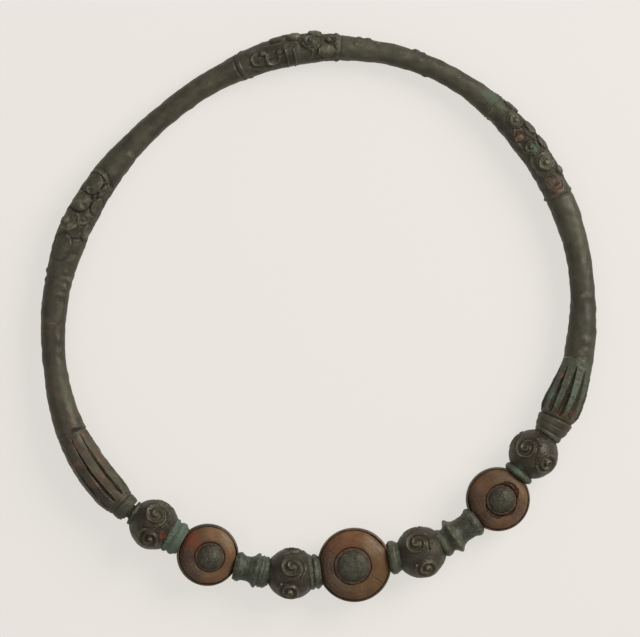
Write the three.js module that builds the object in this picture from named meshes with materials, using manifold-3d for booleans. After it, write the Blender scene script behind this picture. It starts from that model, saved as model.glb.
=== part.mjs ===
// A cast bronze disc torc: an open ring worn at the neck, closed at the front by a
// removable segment of four beads and three inlaid discs.
//
// The torc lies flat, in millimetres, +Z up, with the discs towards -Y.  Angles along the
// ring run anticlockwise from +X.  Angles round its section run from the top (0) over the
// outer side (90) to the underside (180).

import * as THREE from 'three';
import { mergeVertices } from 'three/addons/utils/BufferGeometryUtils.js';
import Module from 'manifold-3d';

const wasm = await Module();
wasm.setup();

// ---------------------------------------------------------------- driving dimensions

const GAP = 0.3; // clearance between separate pieces

// The centre line in plan: a circle pulled out of true, as waves on its radius.
const CENTRE_LINE = {
  radius: 68.39,
  waves: [
    { cycles: 1, height: 0.81, crest: 85 },
    { cycles: 2, height: 2.06, crest: 79.3 },
    { cycles: 3, height: 0.91, crest: -115.5 },
  ],
};

// The beads are thicker than the back of the hoop, so the ring lies tipped back on
// beads one and four and on the relief at the back.
const LIE = { height: 5.42, slopeX: 0.0029, slopeY: -0.0194 };

// The hoop's section: angle, width across, and how far its middle stands off the centre line.
const HOOP_SECTIONS = [
  { angle: -16, width: 8.2, offset: 0.3 },
  { angle: -9, width: 7.8, offset: 0.3 },
  { angle: 8, width: 6.35, offset: 0.3 },
  { angle: 38, width: 7.8, offset: -0.05 },
  { angle: 63, width: 5.35, offset: 0 },
  { angle: 76, width: 5.7, offset: -0.2 },
  { angle: 97, width: 8.5, offset: 0.35 },
  { angle: 116, width: 6.0, offset: -0.15 },
  { angle: 126, width: 5.75, offset: -0.4 },
  { angle: 161, width: 8.5, offset: 0.1 },
  { angle: 174, width: 6.9, offset: -0.15 },
  { angle: 190, width: 6.1, offset: -0.35 },
  { angle: 208, width: 7.8, offset: 0.4 },
  { angle: 218, width: 8.6, offset: 0.46 },
  { angle: 228, width: 8.6, offset: 0.46 },
];
const HOOP = { start: -14, end: 206, step: 6.4, sides: 12, flatness: 0.96 };

// The two fluted terminals, as [angle, width] from the narrow end to the joint beside the
// bead.  Each flute is a long hollow that deepens towards the bead, with a rib between two.
const FLUTE = { depth: 0.8, sides: 3 };
const LEFT_TERMINAL = {
  flutes: 7,
  profile: [
    [204.8, 7.8], [210.5, 8.8], [218.5, 9.1],
    [222.4, 8.5], [224.2, 7.1], [224.9, 7.2], [225.8, 6.3],
  ],
  flutesFrom: 205.5,
  flutesTo: 222.6,
  offsetAtNarrowEnd: 0.3,
  offsetAtBead: 0.42,
};
const RIGHT_TERMINAL = {
  flutes: 8,
  profile: [
    [357.5, 7.3], [350.5, 7.8], [345.5, 9.1], [340, 10.2],
    [337.2, 9.2], [336.4, 9.3], [334, 8.3], [332.2, 6.4],
  ],
  flutesFrom: 349.5,
  flutesTo: 337.6,
  offsetAtNarrowEnd: 0.4,
  offsetAtBead: -0.5,
};

// The joint at the right is a stepped line across the ring, told by how far it leans
// towards the discs at each place across the section.  The cut runs on for reach, and
// stands from bottom up for height.
const STEPPED_JOINT = {
  angle: -9,
  line: [[-8, 1.4], [-3.5, 0.67], [-0.64, 0.22], [-0.36, -0.48], [4.14, 1.31], [8, 2.85]],
  reach: 30,
  bottom: -6,
  height: 24,
};

// The joint at the left is a round tenon in the hoop's end, with a collar at its root.
// The socket's cut runs on past the hoop's end by mouth.
const TENON = { radius: 1.9, depth: 3.2, collar: 3.3, collarTop: 5.75, mouth: 2, sides: 12 };

const BEADS = [
  { angle: 231.7, offset: -0.57, radius: 6.5 },
  { angle: 264.0, offset: 0.52, radius: 6.63 },
  { angle: 293.4, offset: 0.82, radius: 6.65 },
  { angle: 327.3, offset: -0.85, radius: 6.45 },
];
const BALL = { sides: 12, levels: 8 };

// Each disc is a cup with an inlay ring and a domed stud.  The inlay and stud sit a little
// off the cup's centre, by shift in X and Y.
const DISCS = {
  left: {
    angle: 245.1, offset: 0, radius: 8.05, shift: [0.4, -0.1],
    studRadius: 3.75, studShift: [0.62, -0.44], holeRadius: 4.1, bronzeRim: 0.75, height: 1,
  },
  centre: {
    angle: 278.2, offset: -0.85, radius: 9.6, shift: [-0.1, 0],
    studRadius: 4.7, studShift: [-0.5, -0.15], holeRadius: 5.25, bronzeRim: 0.7, height: 1.15,
  },
  right: {
    angle: 314.4, offset: -0.15, radius: 8.3, shift: [0.05, 0],
    studRadius: 3.85, studShift: [0.8, -0.15], holeRadius: 4.5, bronzeRim: 0.6, height: 1,
  },
};
const CUP = {
  back: -3.4, backBevel: 1.8, wallFoot: -0.9, floor: 0.2,
  rimTop: 2.0, rimBevel: 0.3, rimShoulder: 0.6, sides: 16,
};
const INLAY_SIDES = 16;
const INLAY = { edgeTop: 1.9, crownTop: 3.15, innerTop: 3.3 };
const STUD = { edgeTop: 3.2, crownTop: 4.7, sides: 12 };
const STUD_CROWN = [[0.82, 0.55], [0.4, 0.92], [0, 1]]; // shares of the radius and of the rise

// What stands between one bead or disc and the next: rings and necks about a line that
// runs outset from the two centres.  at = distance from the first centre.
const LINK = {
  core: 3.2, shoulder: 0.4, sides: 12,
  rootInBead: 1.6, rootInDisc: 0.6, rootInTerminal: 1.5,
};
const LINKS = {
  beadOneToLeftDisc: {
    outset: 0.2,
    rings: [{ at: 5.3, radius: 4.5, width: 1.3 }, { at: 7.1, radius: 4.4, width: 1.9 }],
  },
  leftDiscToBeadTwo: {
    outset: 1.25,
    rings: [
      { at: 9.0, radius: 3.65, width: 1.0 },
      { at: 11.2, radius: 3.35, width: 1.6 },
      { at: 13.3, radius: 4.45, width: 0.5 },
      { at: 15.2, radius: 3.85, width: 1.1 },
    ],
  },
  beadTwoToCentreDisc: {
    outset: 0.35,
    rings: [{ at: 4.9, radius: 4.4, width: 1.2 }, { at: 6.4, radius: 4.5, width: 1.4 }],
  },
  centreDiscToBeadThree: { outset: 0, rings: [{ at: 10.2, radius: 4.3, width: 1.7 }] },
  beadThreeToRightDisc: {
    outset: 1.35,
    rings: [
      { at: 6.2, radius: 3.75, width: 1.4 },
      { at: 9.3, radius: 4.85, width: 0.5 },
      { at: 12.4, radius: 3.35, width: 2.4 },
      { at: 15.8, radius: 3.75, width: 1.2 },
    ],
  },
  rightDiscToBeadFour: { outset: 0.1, rings: [{ at: 8.4, radius: 3.95, width: 1.5 }] },
  beadFourToTerminal: { outset: 0, rings: [{ at: 6.5, radius: 3.75, width: 1.2 }] },
};

// The two spirals on the upper side of each bead: along = mm towards the next element,
// around = degrees from the top.  Each winds in to a raised eye.
const BEAD_SPIRALS = [
  { along: 0.1, around: -27, radius: 3.1, turns: 1.45, steps: 9 },
  { along: 0.3, around: 38, radius: 2.9, turns: 1.2, steps: 7 },
];
const BEAD_RIDGE = { width: 0.85, height: 0.5 };
const SPIRAL_EYE = 0.3; // where a spiral ends, from its middle

// Relief on the hoop: three stretches of scrolls.  along = mm anticlockwise from the
// stretch's middle, around = degrees from the top.
const RELIEF = [
  {
    angle: 96,
    lips: [{ along: 12.2, bow: 1.8 }, { along: -11.8, bow: 0 }],
    bosses: [
      { along: -9.2, around: -19, radius: 2.1, height: 1.0 },
      { along: -6.4, around: 70, radius: 1.5, height: 1.0 },
      { along: -3.3, around: -2, radius: 1.9, height: 0.7, turns: 1 },
      { along: -0.6, around: -75, radius: 1.2, height: 0.8 },
    ],
    hollows: [
      { along: 8.6, around: 2, length: 3.0, width: 2.4 },
      { along: 4.8, around: -12, length: 2.8, width: 2.4 },
    ],
    ridges: [
      { from: [10.5, 35], to: [-5.5, 20], sway: 1.4 },
    ],
  },
  {
    angle: 159,
    lips: [{ along: -14, bow: -2.2 }, { along: 6.9, bow: 0 }],
    bosses: [
      { along: -11.2, around: 34, radius: 1.9, height: 0.8 },
      { along: -7.8, around: -16, radius: 1.6, height: 0.6, turns: 1 },
      { along: 0.5, around: 40, radius: 2.6, height: 1.1, turns: 1.3 },
    ],
    hollows: [{ along: -6.4, around: 36, length: 4.0, width: 2.4 }],
    ridges: [
      { from: [-4.4, 60], to: [-1.0, -30], sway: -0.9 },
      { from: [4.2, 50], to: [4.2, -50], sway: -0.4 },
    ],
  },
  {
    angle: 39,
    lips: [{ along: 12.3, bow: 0.8 }, { along: -13.6, bow: 0 }],
    bosses: [
      { along: 10.0, around: 78, radius: 1.6, height: 0.7 },
      { along: 7.1, around: 22, radius: 1.9, height: 0.7, turns: 1 },
      { along: -5.7, around: 14, radius: 2.3, height: 0.9, turns: 1.3 },
    ],
    hollows: [{ along: -10.8, around: 8, length: 3.6, width: 3.0 }],
    ridges: [
      { from: [5.0, 45], to: [-3.0, -8], sway: 1.3 },
      { from: [1.6, 5], to: [-2.6, 62], sway: 0.7 },
    ],
  },
];
const HOOP_RIDGE = { width: 1.1, height: 0.55, steps: 5 };
const SCROLL_STEPS = 4;
const BOSS_RIDGE = { width: 0.9, height: 0.35, steps: 5 };
const LIP_WRAP = 1.15 * Math.PI; // how far a lip runs round the section
const RIDGE_ROOT = 0.6; // how deep a raised feature is rooted in the metal
const RIDGE_END = 0.35; // a ridge's size at its two ends, as a share
const BOSS = { sides: 6, shares: [0.8, 0.35], spiralOuter: 0.85, spiralInner: 0.3 };
const HOLLOW = { depth: 1.25, lift: 0.35, sides: 6, levels: 5 };

// Worn flats under the torc lie at this height.
const GROUND = 0;
const GROUND_SLAB = { across: 200, thick: 10 };
const ABOVE_ALL = 8; // a cut from inside a disc comes out above everything at this height

// ---------------------------------------------------------------- finishes

const finish = (color, roughness, metalness) =>
  new THREE.MeshStandardMaterial({ color, roughness, metalness });
const PATINATED_BRONZE = () => finish(0x4f4a3c, 0.62, 0.55);
const AGED_ENAMEL = () => finish(0x96653f, 0.35, 0);
const STUD_BRONZE = () => finish(0x57584b, 0.7, 0.5);

// ---------------------------------------------------------------- geometry tools

const rad = THREE.MathUtils.degToRad;
const UP = new THREE.Vector3(0, 0, 1);

// A closed skin over a row of equal rings, each a list of points.
function skin(rings) {
  const sides = rings[0].length;
  const points = rings.flat();
  const faces = [];
  for (let i = 0; i + 1 < rings.length; i++) {
    for (let k = 0; k < sides; k++) {
      const next = (k + 1) % sides;
      const [a, b] = [i * sides + k, i * sides + next];
      const [c, d] = [a + sides, b + sides];
      faces.push(a, b, d, a, d, c);
    }
  }
  const lid = (first, reversed) => {
    const middle = new THREE.Vector3();
    for (let k = 0; k < sides; k++) middle.addScaledVector(points[first + k], 1 / sides);
    const centre = points.push(middle) - 1;
    for (let k = 0; k < sides; k++) {
      const [a, b] = [first + k, first + ((k + 1) % sides)];
      faces.push(centre, ...(reversed ? [b, a] : [a, b]));
    }
  };
  lid(0, true);
  lid((rings.length - 1) * sides, false);
  const geometry = new THREE.BufferGeometry().setFromPoints(points);
  geometry.setIndex(faces);
  return geometry;
}

// The geometry as a solid that can be joined and cut, with its faces turned outwards.
function solid(geometry) {
  const bare = geometry.clone();
  bare.deleteAttribute('normal');
  bare.deleteAttribute('uv');
  const merged = mergeVertices(bare, 1e-4);
  const vertProperties = new Float32Array(merged.attributes.position.array);
  const build = (triVerts) => new wasm.Manifold(new wasm.Mesh({ numProp: 3, vertProperties, triVerts }));
  const faces = new Uint32Array(merged.index.array);
  const made = build(faces);
  if (made.volume() > 0) return made;
  for (let i = 0; i < faces.length; i += 3) [faces[i], faces[i + 1]] = [faces[i + 1], faces[i]];
  return build(faces);
}

const join = (solids) => solids.reduce((whole, next) => whole.add(next));

function geometryOf(made) {
  const mesh = made.getMesh();
  const geometry = new THREE.BufferGeometry();
  geometry.setAttribute('position', new THREE.BufferAttribute(new Float32Array(mesh.vertProperties), 3));
  geometry.setIndex(new THREE.BufferAttribute(new Uint32Array(mesh.triVerts), 1));
  return geometry.toNonIndexed();
}

function namedMesh(name, made, material) {
  const geometry = geometryOf(made);
  geometry.computeVertexNormals();
  const mesh = new THREE.Mesh(geometry, material);
  mesh.name = name;
  return mesh;
}

// Smooth rise from one row of a table to the next, level at each row.
function eased(rows, at, key) {
  const last = rows.length - 1;
  if (at <= rows[0].angle) return rows[0][key];
  if (at >= rows[last].angle) return rows[last][key];
  const i = rows.findIndex((row) => row.angle > at) - 1;
  const share = (at - rows[i].angle) / (rows[i + 1].angle - rows[i].angle);
  return THREE.MathUtils.lerp(rows[i][key], rows[i + 1][key], 0.5 - 0.5 * Math.cos(Math.PI * share));
}

// ---------------------------------------------------------------- the ring's centre line

function centreRadius(angle) {
  return CENTRE_LINE.waves.reduce(
    (sum, wave) => sum + wave.height * Math.cos(wave.cycles * rad(angle) - rad(wave.crest)),
    CENTRE_LINE.radius,
  );
}

const axisHeight = (x, y) => LIE.height + LIE.slopeX * x + LIE.slopeY * y;

function centrePoint(angle, offset = 0) {
  const radius = centreRadius(angle) + offset;
  const x = radius * Math.cos(rad(angle));
  const y = radius * Math.sin(rad(angle));
  return new THREE.Vector3(x, y, axisHeight(x, y));
}

function outwardAt(angle) {
  const small = 0.5;
  const along = centrePoint(angle + small).sub(centrePoint(angle - small));
  return along.cross(UP).normalize();
}

// A point of an oval section: out across the ring and up.
function sectionPoint(centre, outward, around, halfWidth, halfHeight) {
  return centre
    .clone()
    .addScaledVector(outward, halfWidth * Math.sin(rad(around)))
    .addScaledVector(UP, halfHeight * Math.cos(rad(around)));
}

function hoopPoint(angle, around, lift) {
  const half = eased(HOOP_SECTIONS, angle, 'width') / 2;
  const centre = centrePoint(angle, eased(HOOP_SECTIONS, angle, 'offset'));
  return sectionPoint(centre, outwardAt(angle), around, half + lift, half * HOOP.flatness + lift);
}

// ---------------------------------------------------------------- relief

// A chart turns (x along the ring, y round the section, lift off the surface), in mm,
// into a point.
function hoopChart(angle, around) {
  const half = eased(HOOP_SECTIONS, angle, 'width') / 2;
  const alongDegrees = THREE.MathUtils.radToDeg(1 / CENTRE_LINE.radius);
  const aroundDegrees = THREE.MathUtils.radToDeg(1 / half);
  return (x, y, lift) => hoopPoint(angle + x * alongDegrees, around + y * aroundDegrees, lift);
}

function beadChart(bead, along, around) {
  const pole = new THREE.Vector3()
    .addScaledVector(bead.outward, Math.sin(rad(around)))
    .addScaledVector(UP, Math.cos(rad(around)))
    .addScaledVector(bead.forward, along / bead.radius)
    .normalize();
  const side = new THREE.Vector3().crossVectors(bead.forward, pole).normalize();
  const front = new THREE.Vector3().crossVectors(pole, side);
  return (x, y, lift) => {
    const reach = Math.hypot(x, y) || 1e-9;
    const turn = reach / bead.radius;
    return pole
      .clone()
      .multiplyScalar(Math.cos(turn))
      .addScaledVector(front, (Math.sin(turn) * x) / reach)
      .addScaledVector(side, (Math.sin(turn) * y) / reach)
      .multiplyScalar(bead.radius + lift)
      .add(bead.centre);
  };
}

// A raised line of triangular section along path(t), t from 0 to 1, fine at both ends.
function ridge(chart, path, size, steps = size.steps) {
  const rings = [];
  for (let i = 0; i <= steps; i++) {
    const t = i / steps;
    const [x, y] = path(t);
    const [x0, y0] = path(t - 0.01);
    const [x1, y1] = path(t + 0.01);
    const run = Math.hypot(x1 - x0, y1 - y0);
    const fine = Math.min(1, RIDGE_END + 6 * Math.min(t, 1 - t));
    const side = (size.width / 2) * fine;
    const [sx, sy] = [(-(y1 - y0) / run) * side, ((x1 - x0) / run) * side];
    rings.push([
      chart(x + sx, y + sy, -RIDGE_ROOT),
      chart(x, y, size.height * fine),
      chart(x - sx, y - sy, -RIDGE_ROOT),
    ]);
  }
  return solid(skin(rings));
}

// Paths on a chart: a spiral winding in, and a line that sways from side to side.
const spiralPath = (outer, inner, turns) => (t) => {
  const reach = THREE.MathUtils.lerp(outer, inner, t);
  const angle = t * turns * 2 * Math.PI;
  return [reach * Math.cos(angle), reach * Math.sin(angle)];
};

const swayingPath = (run, swing) => (t) => [
  run[0] * t - (run[1] / Math.hypot(...run)) * swing * Math.sin(2 * Math.PI * t),
  run[1] * t + (run[0] / Math.hypot(...run)) * swing * Math.sin(2 * Math.PI * t),
];

// A dome's height at a share of its radius, as a share of its own height.
const domeRise = (share) => Math.sqrt(Math.max(0, 1 - share * share));

// A low dome rooted in the surface.
function dome(chart, radius, height) {
  const level = (share, lift) =>
    Array.from({ length: BOSS.sides }, (_, k) => {
      const angle = (2 * Math.PI * k) / BOSS.sides;
      return chart(radius * share * Math.cos(angle), radius * share * Math.sin(angle), lift);
    });
  const risen = BOSS.shares.map((share) => level(share, height * domeRise(share)));
  return solid(skin([level(1, -RIDGE_ROOT), ...risen]));
}

function spiralBoss(chart, boss) {
  const parts = [dome(chart, boss.radius, boss.height)];
  if (boss.turns) {
    // The line's crest follows the dome, and its feet stay rooted in the hoop.
    const rise = (x, y) => boss.height * domeRise(Math.hypot(x, y) / boss.radius);
    const onDome = (x, y, lift) => chart(x, y, lift > 0 ? lift + rise(x, y) : lift);
    const path = spiralPath(boss.radius * BOSS.spiralOuter, boss.radius * BOSS.spiralInner, boss.turns);
    parts.push(ridge(onDome, path, BOSS_RIDGE));
  }
  return join(parts);
}

// A rounded hollow sunk into the surface, longest across the line of the ring.
function hollow(chart, length, width) {
  const centre = chart(0, 0, HOLLOW.lift);
  const acrossDirection = chart(0, 0.1, 0).sub(chart(0, -0.1, 0)).normalize();
  const alongDirection = chart(0.1, 0, 0).sub(chart(-0.1, 0, 0)).normalize();
  const normal = new THREE.Vector3().crossVectors(alongDirection, acrossDirection);
  const place = new THREE.Matrix4().makeBasis(alongDirection, acrossDirection, normal).setPosition(centre);
  const geometry = new THREE.SphereGeometry(1, HOLLOW.sides, HOLLOW.levels);
  geometry.scale(width / 2, length / 2, HOLLOW.depth);
  return solid(geometry.applyMatrix4(place));
}

// The angle that lies so many mm along from a stretch's middle.
const angleAlong = (stretch, along) => stretch.angle + THREE.MathUtils.radToDeg(along / CENTRE_LINE.radius);

function reliefRaised(stretch) {
  const at = (along, around) => hoopChart(angleAlong(stretch, along), around);
  const half = eased(HOOP_SECTIONS, stretch.angle, 'width') / 2;
  const lips = stretch.lips.map(({ along, bow }) => {
    const turn = (t) => (t - 0.5) * LIP_WRAP;
    const path = (t) => [bow * Math.cos(turn(t)), half * turn(t)];
    return ridge(at(along, 0), path, HOOP_RIDGE);
  });
  const bosses = stretch.bosses.map((boss) => spiralBoss(at(boss.along, boss.around), boss));
  const ridges = stretch.ridges.map(({ from, to, sway }) => {
    const run = [to[0] - from[0], rad(to[1] - from[1]) * half];
    return ridge(at(...from), swayingPath(run, sway), HOOP_RIDGE, SCROLL_STEPS);
  });
  return join([...lips, ...bosses, ...ridges]);
}

function reliefSunk(stretch) {
  return stretch.hollows.map(({ along, around, length, width }) =>
    hollow(hoopChart(angleAlong(stretch, along), around), length, width));
}

// ---------------------------------------------------------------- hoop and terminals

function hoopRod() {
  const count = Math.round((HOOP.end - HOOP.start) / HOOP.step);
  const rings = [];
  for (let i = 0; i <= count; i++) {
    const angle = THREE.MathUtils.lerp(HOOP.start, HOOP.end, i / count);
    rings.push(
      Array.from({ length: HOOP.sides }, (_, k) => hoopPoint(angle, (360 * k) / HOOP.sides, 0)),
    );
  }
  return solid(skin(rings));
}

function flutedTerminal(terminal) {
  const sides = terminal.flutes * FLUTE.sides;
  const first = terminal.profile[0][0];
  const last = terminal.profile[terminal.profile.length - 1][0];
  const rings = terminal.profile.map(([angle, width]) => {
    const share = (angle - first) / (last - first);
    const offset = THREE.MathUtils.lerp(terminal.offsetAtNarrowEnd, terminal.offsetAtBead, share);
    const run = THREE.MathUtils.clamp(
      (angle - terminal.flutesFrom) / (terminal.flutesTo - terminal.flutesFrom), 0, 1,
    );
    const depth = FLUTE.depth * Math.sin(Math.PI * run ** 1.6) ** 0.6;
    return Array.from({ length: sides }, (_, k) => {
      const around = (360 * k) / sides;
      const groove = 0.5 - 0.5 * Math.cos(rad(around * terminal.flutes));
      const half = width / 2 - depth * groove;
      return sectionPoint(centrePoint(angle, offset), outwardAt(angle), around, half, half * HOOP.flatness);
    });
  });
  return solid(skin(rings));
}

// Everything on the discs' side of the stepped joint, set back by the given clearance.
function beyondSteppedJoint(clearance) {
  const { angle, line, reach, bottom, height } = STEPPED_JOINT;
  const corners = [...line, [line[line.length - 1][0], reach], [line[0][0], reach]];
  const placed = corners.map(([across, lean]) => new THREE.Vector2(across, lean + clearance));
  const outline = new THREE.Shape(placed);
  const block = new THREE.ExtrudeGeometry(outline, { depth: height, bevelEnabled: false });
  const outward = outwardAt(angle);
  const towardsDiscs = new THREE.Vector3().crossVectors(outward, UP);
  const origin = centrePoint(angle).setZ(bottom);
  const place = new THREE.Matrix4().makeBasis(outward, towardsDiscs, UP.clone().negate());
  place.setPosition(origin);
  block.translate(0, 0, -height);
  return solid(block.applyMatrix4(place));
}

// A solid of revolution about the line from one point to another; profile = [distance, radius].
function turned(start, end, profile, sides) {
  const outline = profile.map(([at, radius]) => new THREE.Vector2(radius, at));
  const geometry = new THREE.LatheGeometry(outline, sides);
  const direction = end.clone().sub(start).normalize();
  const spin = new THREE.Quaternion().setFromUnitVectors(new THREE.Vector3(0, 1, 0), direction);
  geometry.applyQuaternion(spin);
  geometry.translate(start.x, start.y, start.z);
  return solid(geometry);
}

// All the space below the worn flats.
const underGround = () => {
  const slab = new THREE.BoxGeometry(GROUND_SLAB.across, GROUND_SLAB.across, GROUND_SLAB.thick);
  slab.translate(0, 0, GROUND - GROUND_SLAB.thick / 2);
  return solid(slab);
};

const hoopEnd = () => {
  const { profile, offsetAtBead } = LEFT_TERMINAL;
  return centrePoint(profile[profile.length - 1][0], offsetAtBead);
};

function hoop(beadOne) {
  const bottom = -TENON.depth - GAP;
  const wall = TENON.radius + GAP;
  const bore = [[bottom, 0], [bottom, wall], [TENON.mouth, wall], [TENON.mouth, 0]];
  const socket = turned(hoopEnd(), beadOne.centre, bore, TENON.sides);
  const body = join([hoopRod(), flutedTerminal(LEFT_TERMINAL), ...RELIEF.map(reliefRaised)]);
  const cuts = join([socket, beyondSteppedJoint(0), underGround(), ...RELIEF.flatMap(reliefSunk)]);
  return body.subtract(cuts);
}

// ---------------------------------------------------------------- the front segment

// Centre, forward and outward directions of each bead.
function beadFrames() {
  const stops = [
    hoopEnd(), centrePoint(BEADS[0].angle, BEADS[0].offset), discCentre(DISCS.left),
    centrePoint(BEADS[1].angle, BEADS[1].offset), discCentre(DISCS.centre),
    centrePoint(BEADS[2].angle, BEADS[2].offset), discCentre(DISCS.right),
    centrePoint(BEADS[3].angle, BEADS[3].offset), terminalNose(),
  ];
  return BEADS.map((bead, i) => {
    const here = 2 * i + 1;
    const forward = stops[here + 1].clone().sub(stops[here - 1]).normalize();
    return {
      radius: bead.radius,
      root: LINK.rootInBead,
      centre: stops[here],
      forward,
      outward: new THREE.Vector3().crossVectors(forward, UP).normalize(),
    };
  });
}

const discCentre = (disc) => centrePoint(disc.angle, disc.offset);

const terminalNose = () => {
  const { profile, offsetAtBead } = RIGHT_TERMINAL;
  return centrePoint(profile[profile.length - 1][0], offsetAtBead);
};

function carvedBead(bead) {
  const ball = new THREE.SphereGeometry(bead.radius, BALL.sides, BALL.levels);
  ball.applyMatrix4(new THREE.Matrix4().makeBasis(UP, bead.forward, bead.outward).setPosition(bead.centre));
  const parts = [solid(ball)];
  for (const { along, around, radius, turns, steps } of BEAD_SPIRALS) {
    const path = spiralPath(radius, SPIRAL_EYE, turns);
    parts.push(ridge(beadChart(bead, along, around), path, BEAD_RIDGE, steps));
  }
  return join(parts);
}

// Rings and necks from one bead or disc to the next, as one turned piece that is rooted
// a little way inside both.
function link(start, end, { outset, rings }) {
  const run = end.centre.clone().sub(start.centre);
  const aside = new THREE.Vector3().crossVectors(run, UP).setLength(outset || 1e-9);
  const first = start.radius - start.root;
  const last = run.length() - end.radius + end.root;
  const profile = [[first, 0], [first, LINK.core]];
  for (const { at, radius, width } of rings) {
    const shoulder = Math.min(LINK.shoulder, Math.abs(radius - LINK.core));
    profile.push([at - width / 2, radius - shoulder], [at, radius], [at + width / 2, radius - shoulder]);
  }
  profile.push([last, LINK.core], [last, 0]);
  return turned(start.centre.clone().add(aside), end.centre.clone().add(aside), profile, LINK.sides);
}

// A disc's solid body, and the recess that is cut in it for the inlay and the stud.
function cup(disc) {
  const { radius, height } = disc;
  const rimTop = CUP.rimTop * height;
  const profile = [
    [CUP.back, 0], [CUP.back, radius - CUP.backBevel], [CUP.wallFoot, radius],
    [rimTop - CUP.rimShoulder, radius], [rimTop, radius - CUP.rimBevel], [rimTop, 0],
  ];
  const centre = discCentre(disc);
  const body = turned(centre, centre.clone().add(UP), profile, CUP.sides);
  const recess = radius - disc.bronzeRim - Math.hypot(...disc.shift);
  const hole = [[CUP.floor, 0], [CUP.floor, recess], [ABOVE_ALL, recess], [ABOVE_ALL, 0]];
  const middle = centre.clone().add(new THREE.Vector3(...disc.shift, 0));
  return { body, recess: turned(middle, middle.clone().add(UP), hole, CUP.sides) };
}

function inlay(disc) {
  const { height } = disc;
  const outer = disc.radius - disc.bronzeRim - Math.hypot(...disc.shift) - GAP;
  const inner = disc.holeRadius;
  const floor = CUP.floor + GAP;
  const ring = (share, z) => [z * height, THREE.MathUtils.lerp(inner, outer, share)];
  const profile = [
    [floor, 0], [floor, outer], ring(1, INLAY.edgeTop),
    ring(0.5, INLAY.crownTop), ring(0, INLAY.innerTop), [INLAY.innerTop * height, 0],
  ];
  const middle = discCentre(disc).add(new THREE.Vector3(...disc.shift, 0));
  const eye = discCentre(disc).add(new THREE.Vector3(...disc.studShift, 0));
  const bore = [[floor - 1, 0], [floor - 1, inner], [ABOVE_ALL, inner], [ABOVE_ALL, 0]];
  return turned(middle, middle.clone().add(UP), profile, INLAY_SIDES)
    .subtract(turned(eye, eye.clone().add(UP), bore, INLAY_SIDES));
}

function stud(disc) {
  const { studRadius: r, height } = disc;
  const foot = CUP.floor + GAP;
  const edge = STUD.edgeTop * height;
  const rise = (STUD.crownTop - STUD.edgeTop) * height;
  const crown = STUD_CROWN.map(([across, up]) => [edge + rise * up, r * across]);
  const profile = [[foot, 0], [foot, r], [edge, r], ...crown];
  const middle = discCentre(disc).add(new THREE.Vector3(...disc.studShift, 0));
  return turned(middle, middle.clone().add(UP), profile, STUD.sides);
}

function tenon(bead) {
  const tip = bead.centre.distanceTo(hoopEnd()) + TENON.depth;
  const foot = bead.radius / 2;
  const profile = [
    [foot, 0], [foot, TENON.collar], [TENON.collarTop, TENON.collar],
    [TENON.collarTop, TENON.radius], [tip, TENON.radius], [tip, 0],
  ];
  return turned(bead.centre, hoopEnd(), profile, TENON.sides);
}

function frontSegment(beads) {
  const [one, two, three, four] = beads;
  const [left, centre, right] = Object.values(DISCS).map((disc) => ({
    ...disc,
    centre: discCentre(disc),
    root: LINK.rootInDisc,
  }));
  const cups = [left, centre, right].map(cup);
  const nose = { centre: terminalNose(), radius: 0, root: LINK.rootInTerminal };
  const body = join([
    tenon(one),
    ...beads.map(carvedBead),
    ...cups.map(({ body: made }) => made),
    link(one, left, LINKS.beadOneToLeftDisc),
    link(left, two, LINKS.leftDiscToBeadTwo),
    link(two, centre, LINKS.beadTwoToCentreDisc),
    link(centre, three, LINKS.centreDiscToBeadThree),
    link(three, right, LINKS.beadThreeToRightDisc),
    link(right, four, LINKS.rightDiscToBeadFour),
    link(four, nose, LINKS.beadFourToTerminal),
    flutedTerminal(RIGHT_TERMINAL).intersect(beyondSteppedJoint(GAP)),
  ]);
  return body.subtract(join([underGround(), ...cups.map(({ recess }) => recess)]));
}

// ---------------------------------------------------------------- the torc

const beads = beadFrames();
const torc = new THREE.Group();
torc.add(namedMesh('hoop', hoop(beads[0]), PATINATED_BRONZE()));
torc.add(namedMesh('front_segment', frontSegment(beads), PATINATED_BRONZE()));
for (const [place, disc] of Object.entries(DISCS)) {
  torc.add(namedMesh(`${place}_inlay`, inlay(disc), AGED_ENAMEL()));
  torc.add(namedMesh(`${place}_stud`, stud(disc), STUD_BRONZE()));
}

export default torc;
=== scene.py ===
"""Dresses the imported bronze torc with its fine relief, patina, inlays, light and camera.

The torc lies flat, +Z up, with its discs towards -Y.  Sizes here are in millimetres and
become metres when a mesh is made.  Angles along the ring run anticlockwise from +X, and
angles round its section run from the top (0) over the outer side (90) to the underside.
"""

import logging
import math
from dataclasses import dataclass
from enum import Enum
from typing import Any

import bpy
import numpy as np
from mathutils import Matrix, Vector


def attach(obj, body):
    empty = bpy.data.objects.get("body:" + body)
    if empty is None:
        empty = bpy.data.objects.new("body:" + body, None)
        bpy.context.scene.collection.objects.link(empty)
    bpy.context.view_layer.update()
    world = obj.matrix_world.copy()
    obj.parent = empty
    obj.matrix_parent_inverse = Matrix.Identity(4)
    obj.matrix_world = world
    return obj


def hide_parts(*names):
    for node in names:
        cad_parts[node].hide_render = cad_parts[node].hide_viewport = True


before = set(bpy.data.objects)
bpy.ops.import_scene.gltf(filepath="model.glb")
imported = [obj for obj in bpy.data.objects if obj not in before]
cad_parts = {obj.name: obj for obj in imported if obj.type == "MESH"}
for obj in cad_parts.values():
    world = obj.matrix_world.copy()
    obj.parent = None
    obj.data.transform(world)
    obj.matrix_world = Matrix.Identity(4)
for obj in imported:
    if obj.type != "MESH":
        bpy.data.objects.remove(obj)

Array = np.ndarray
Colour = tuple[float, float, float]
Point = tuple[float, float]
Rows = tuple[tuple[float, ...], ...]

MM = 0.001
HIGHEST = 13.68
UP = np.array([0.0, 0.0, 1.0])
LOG = logging.getLogger("torc")


# ---------------------------------------------------------------- numbers and colours


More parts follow.
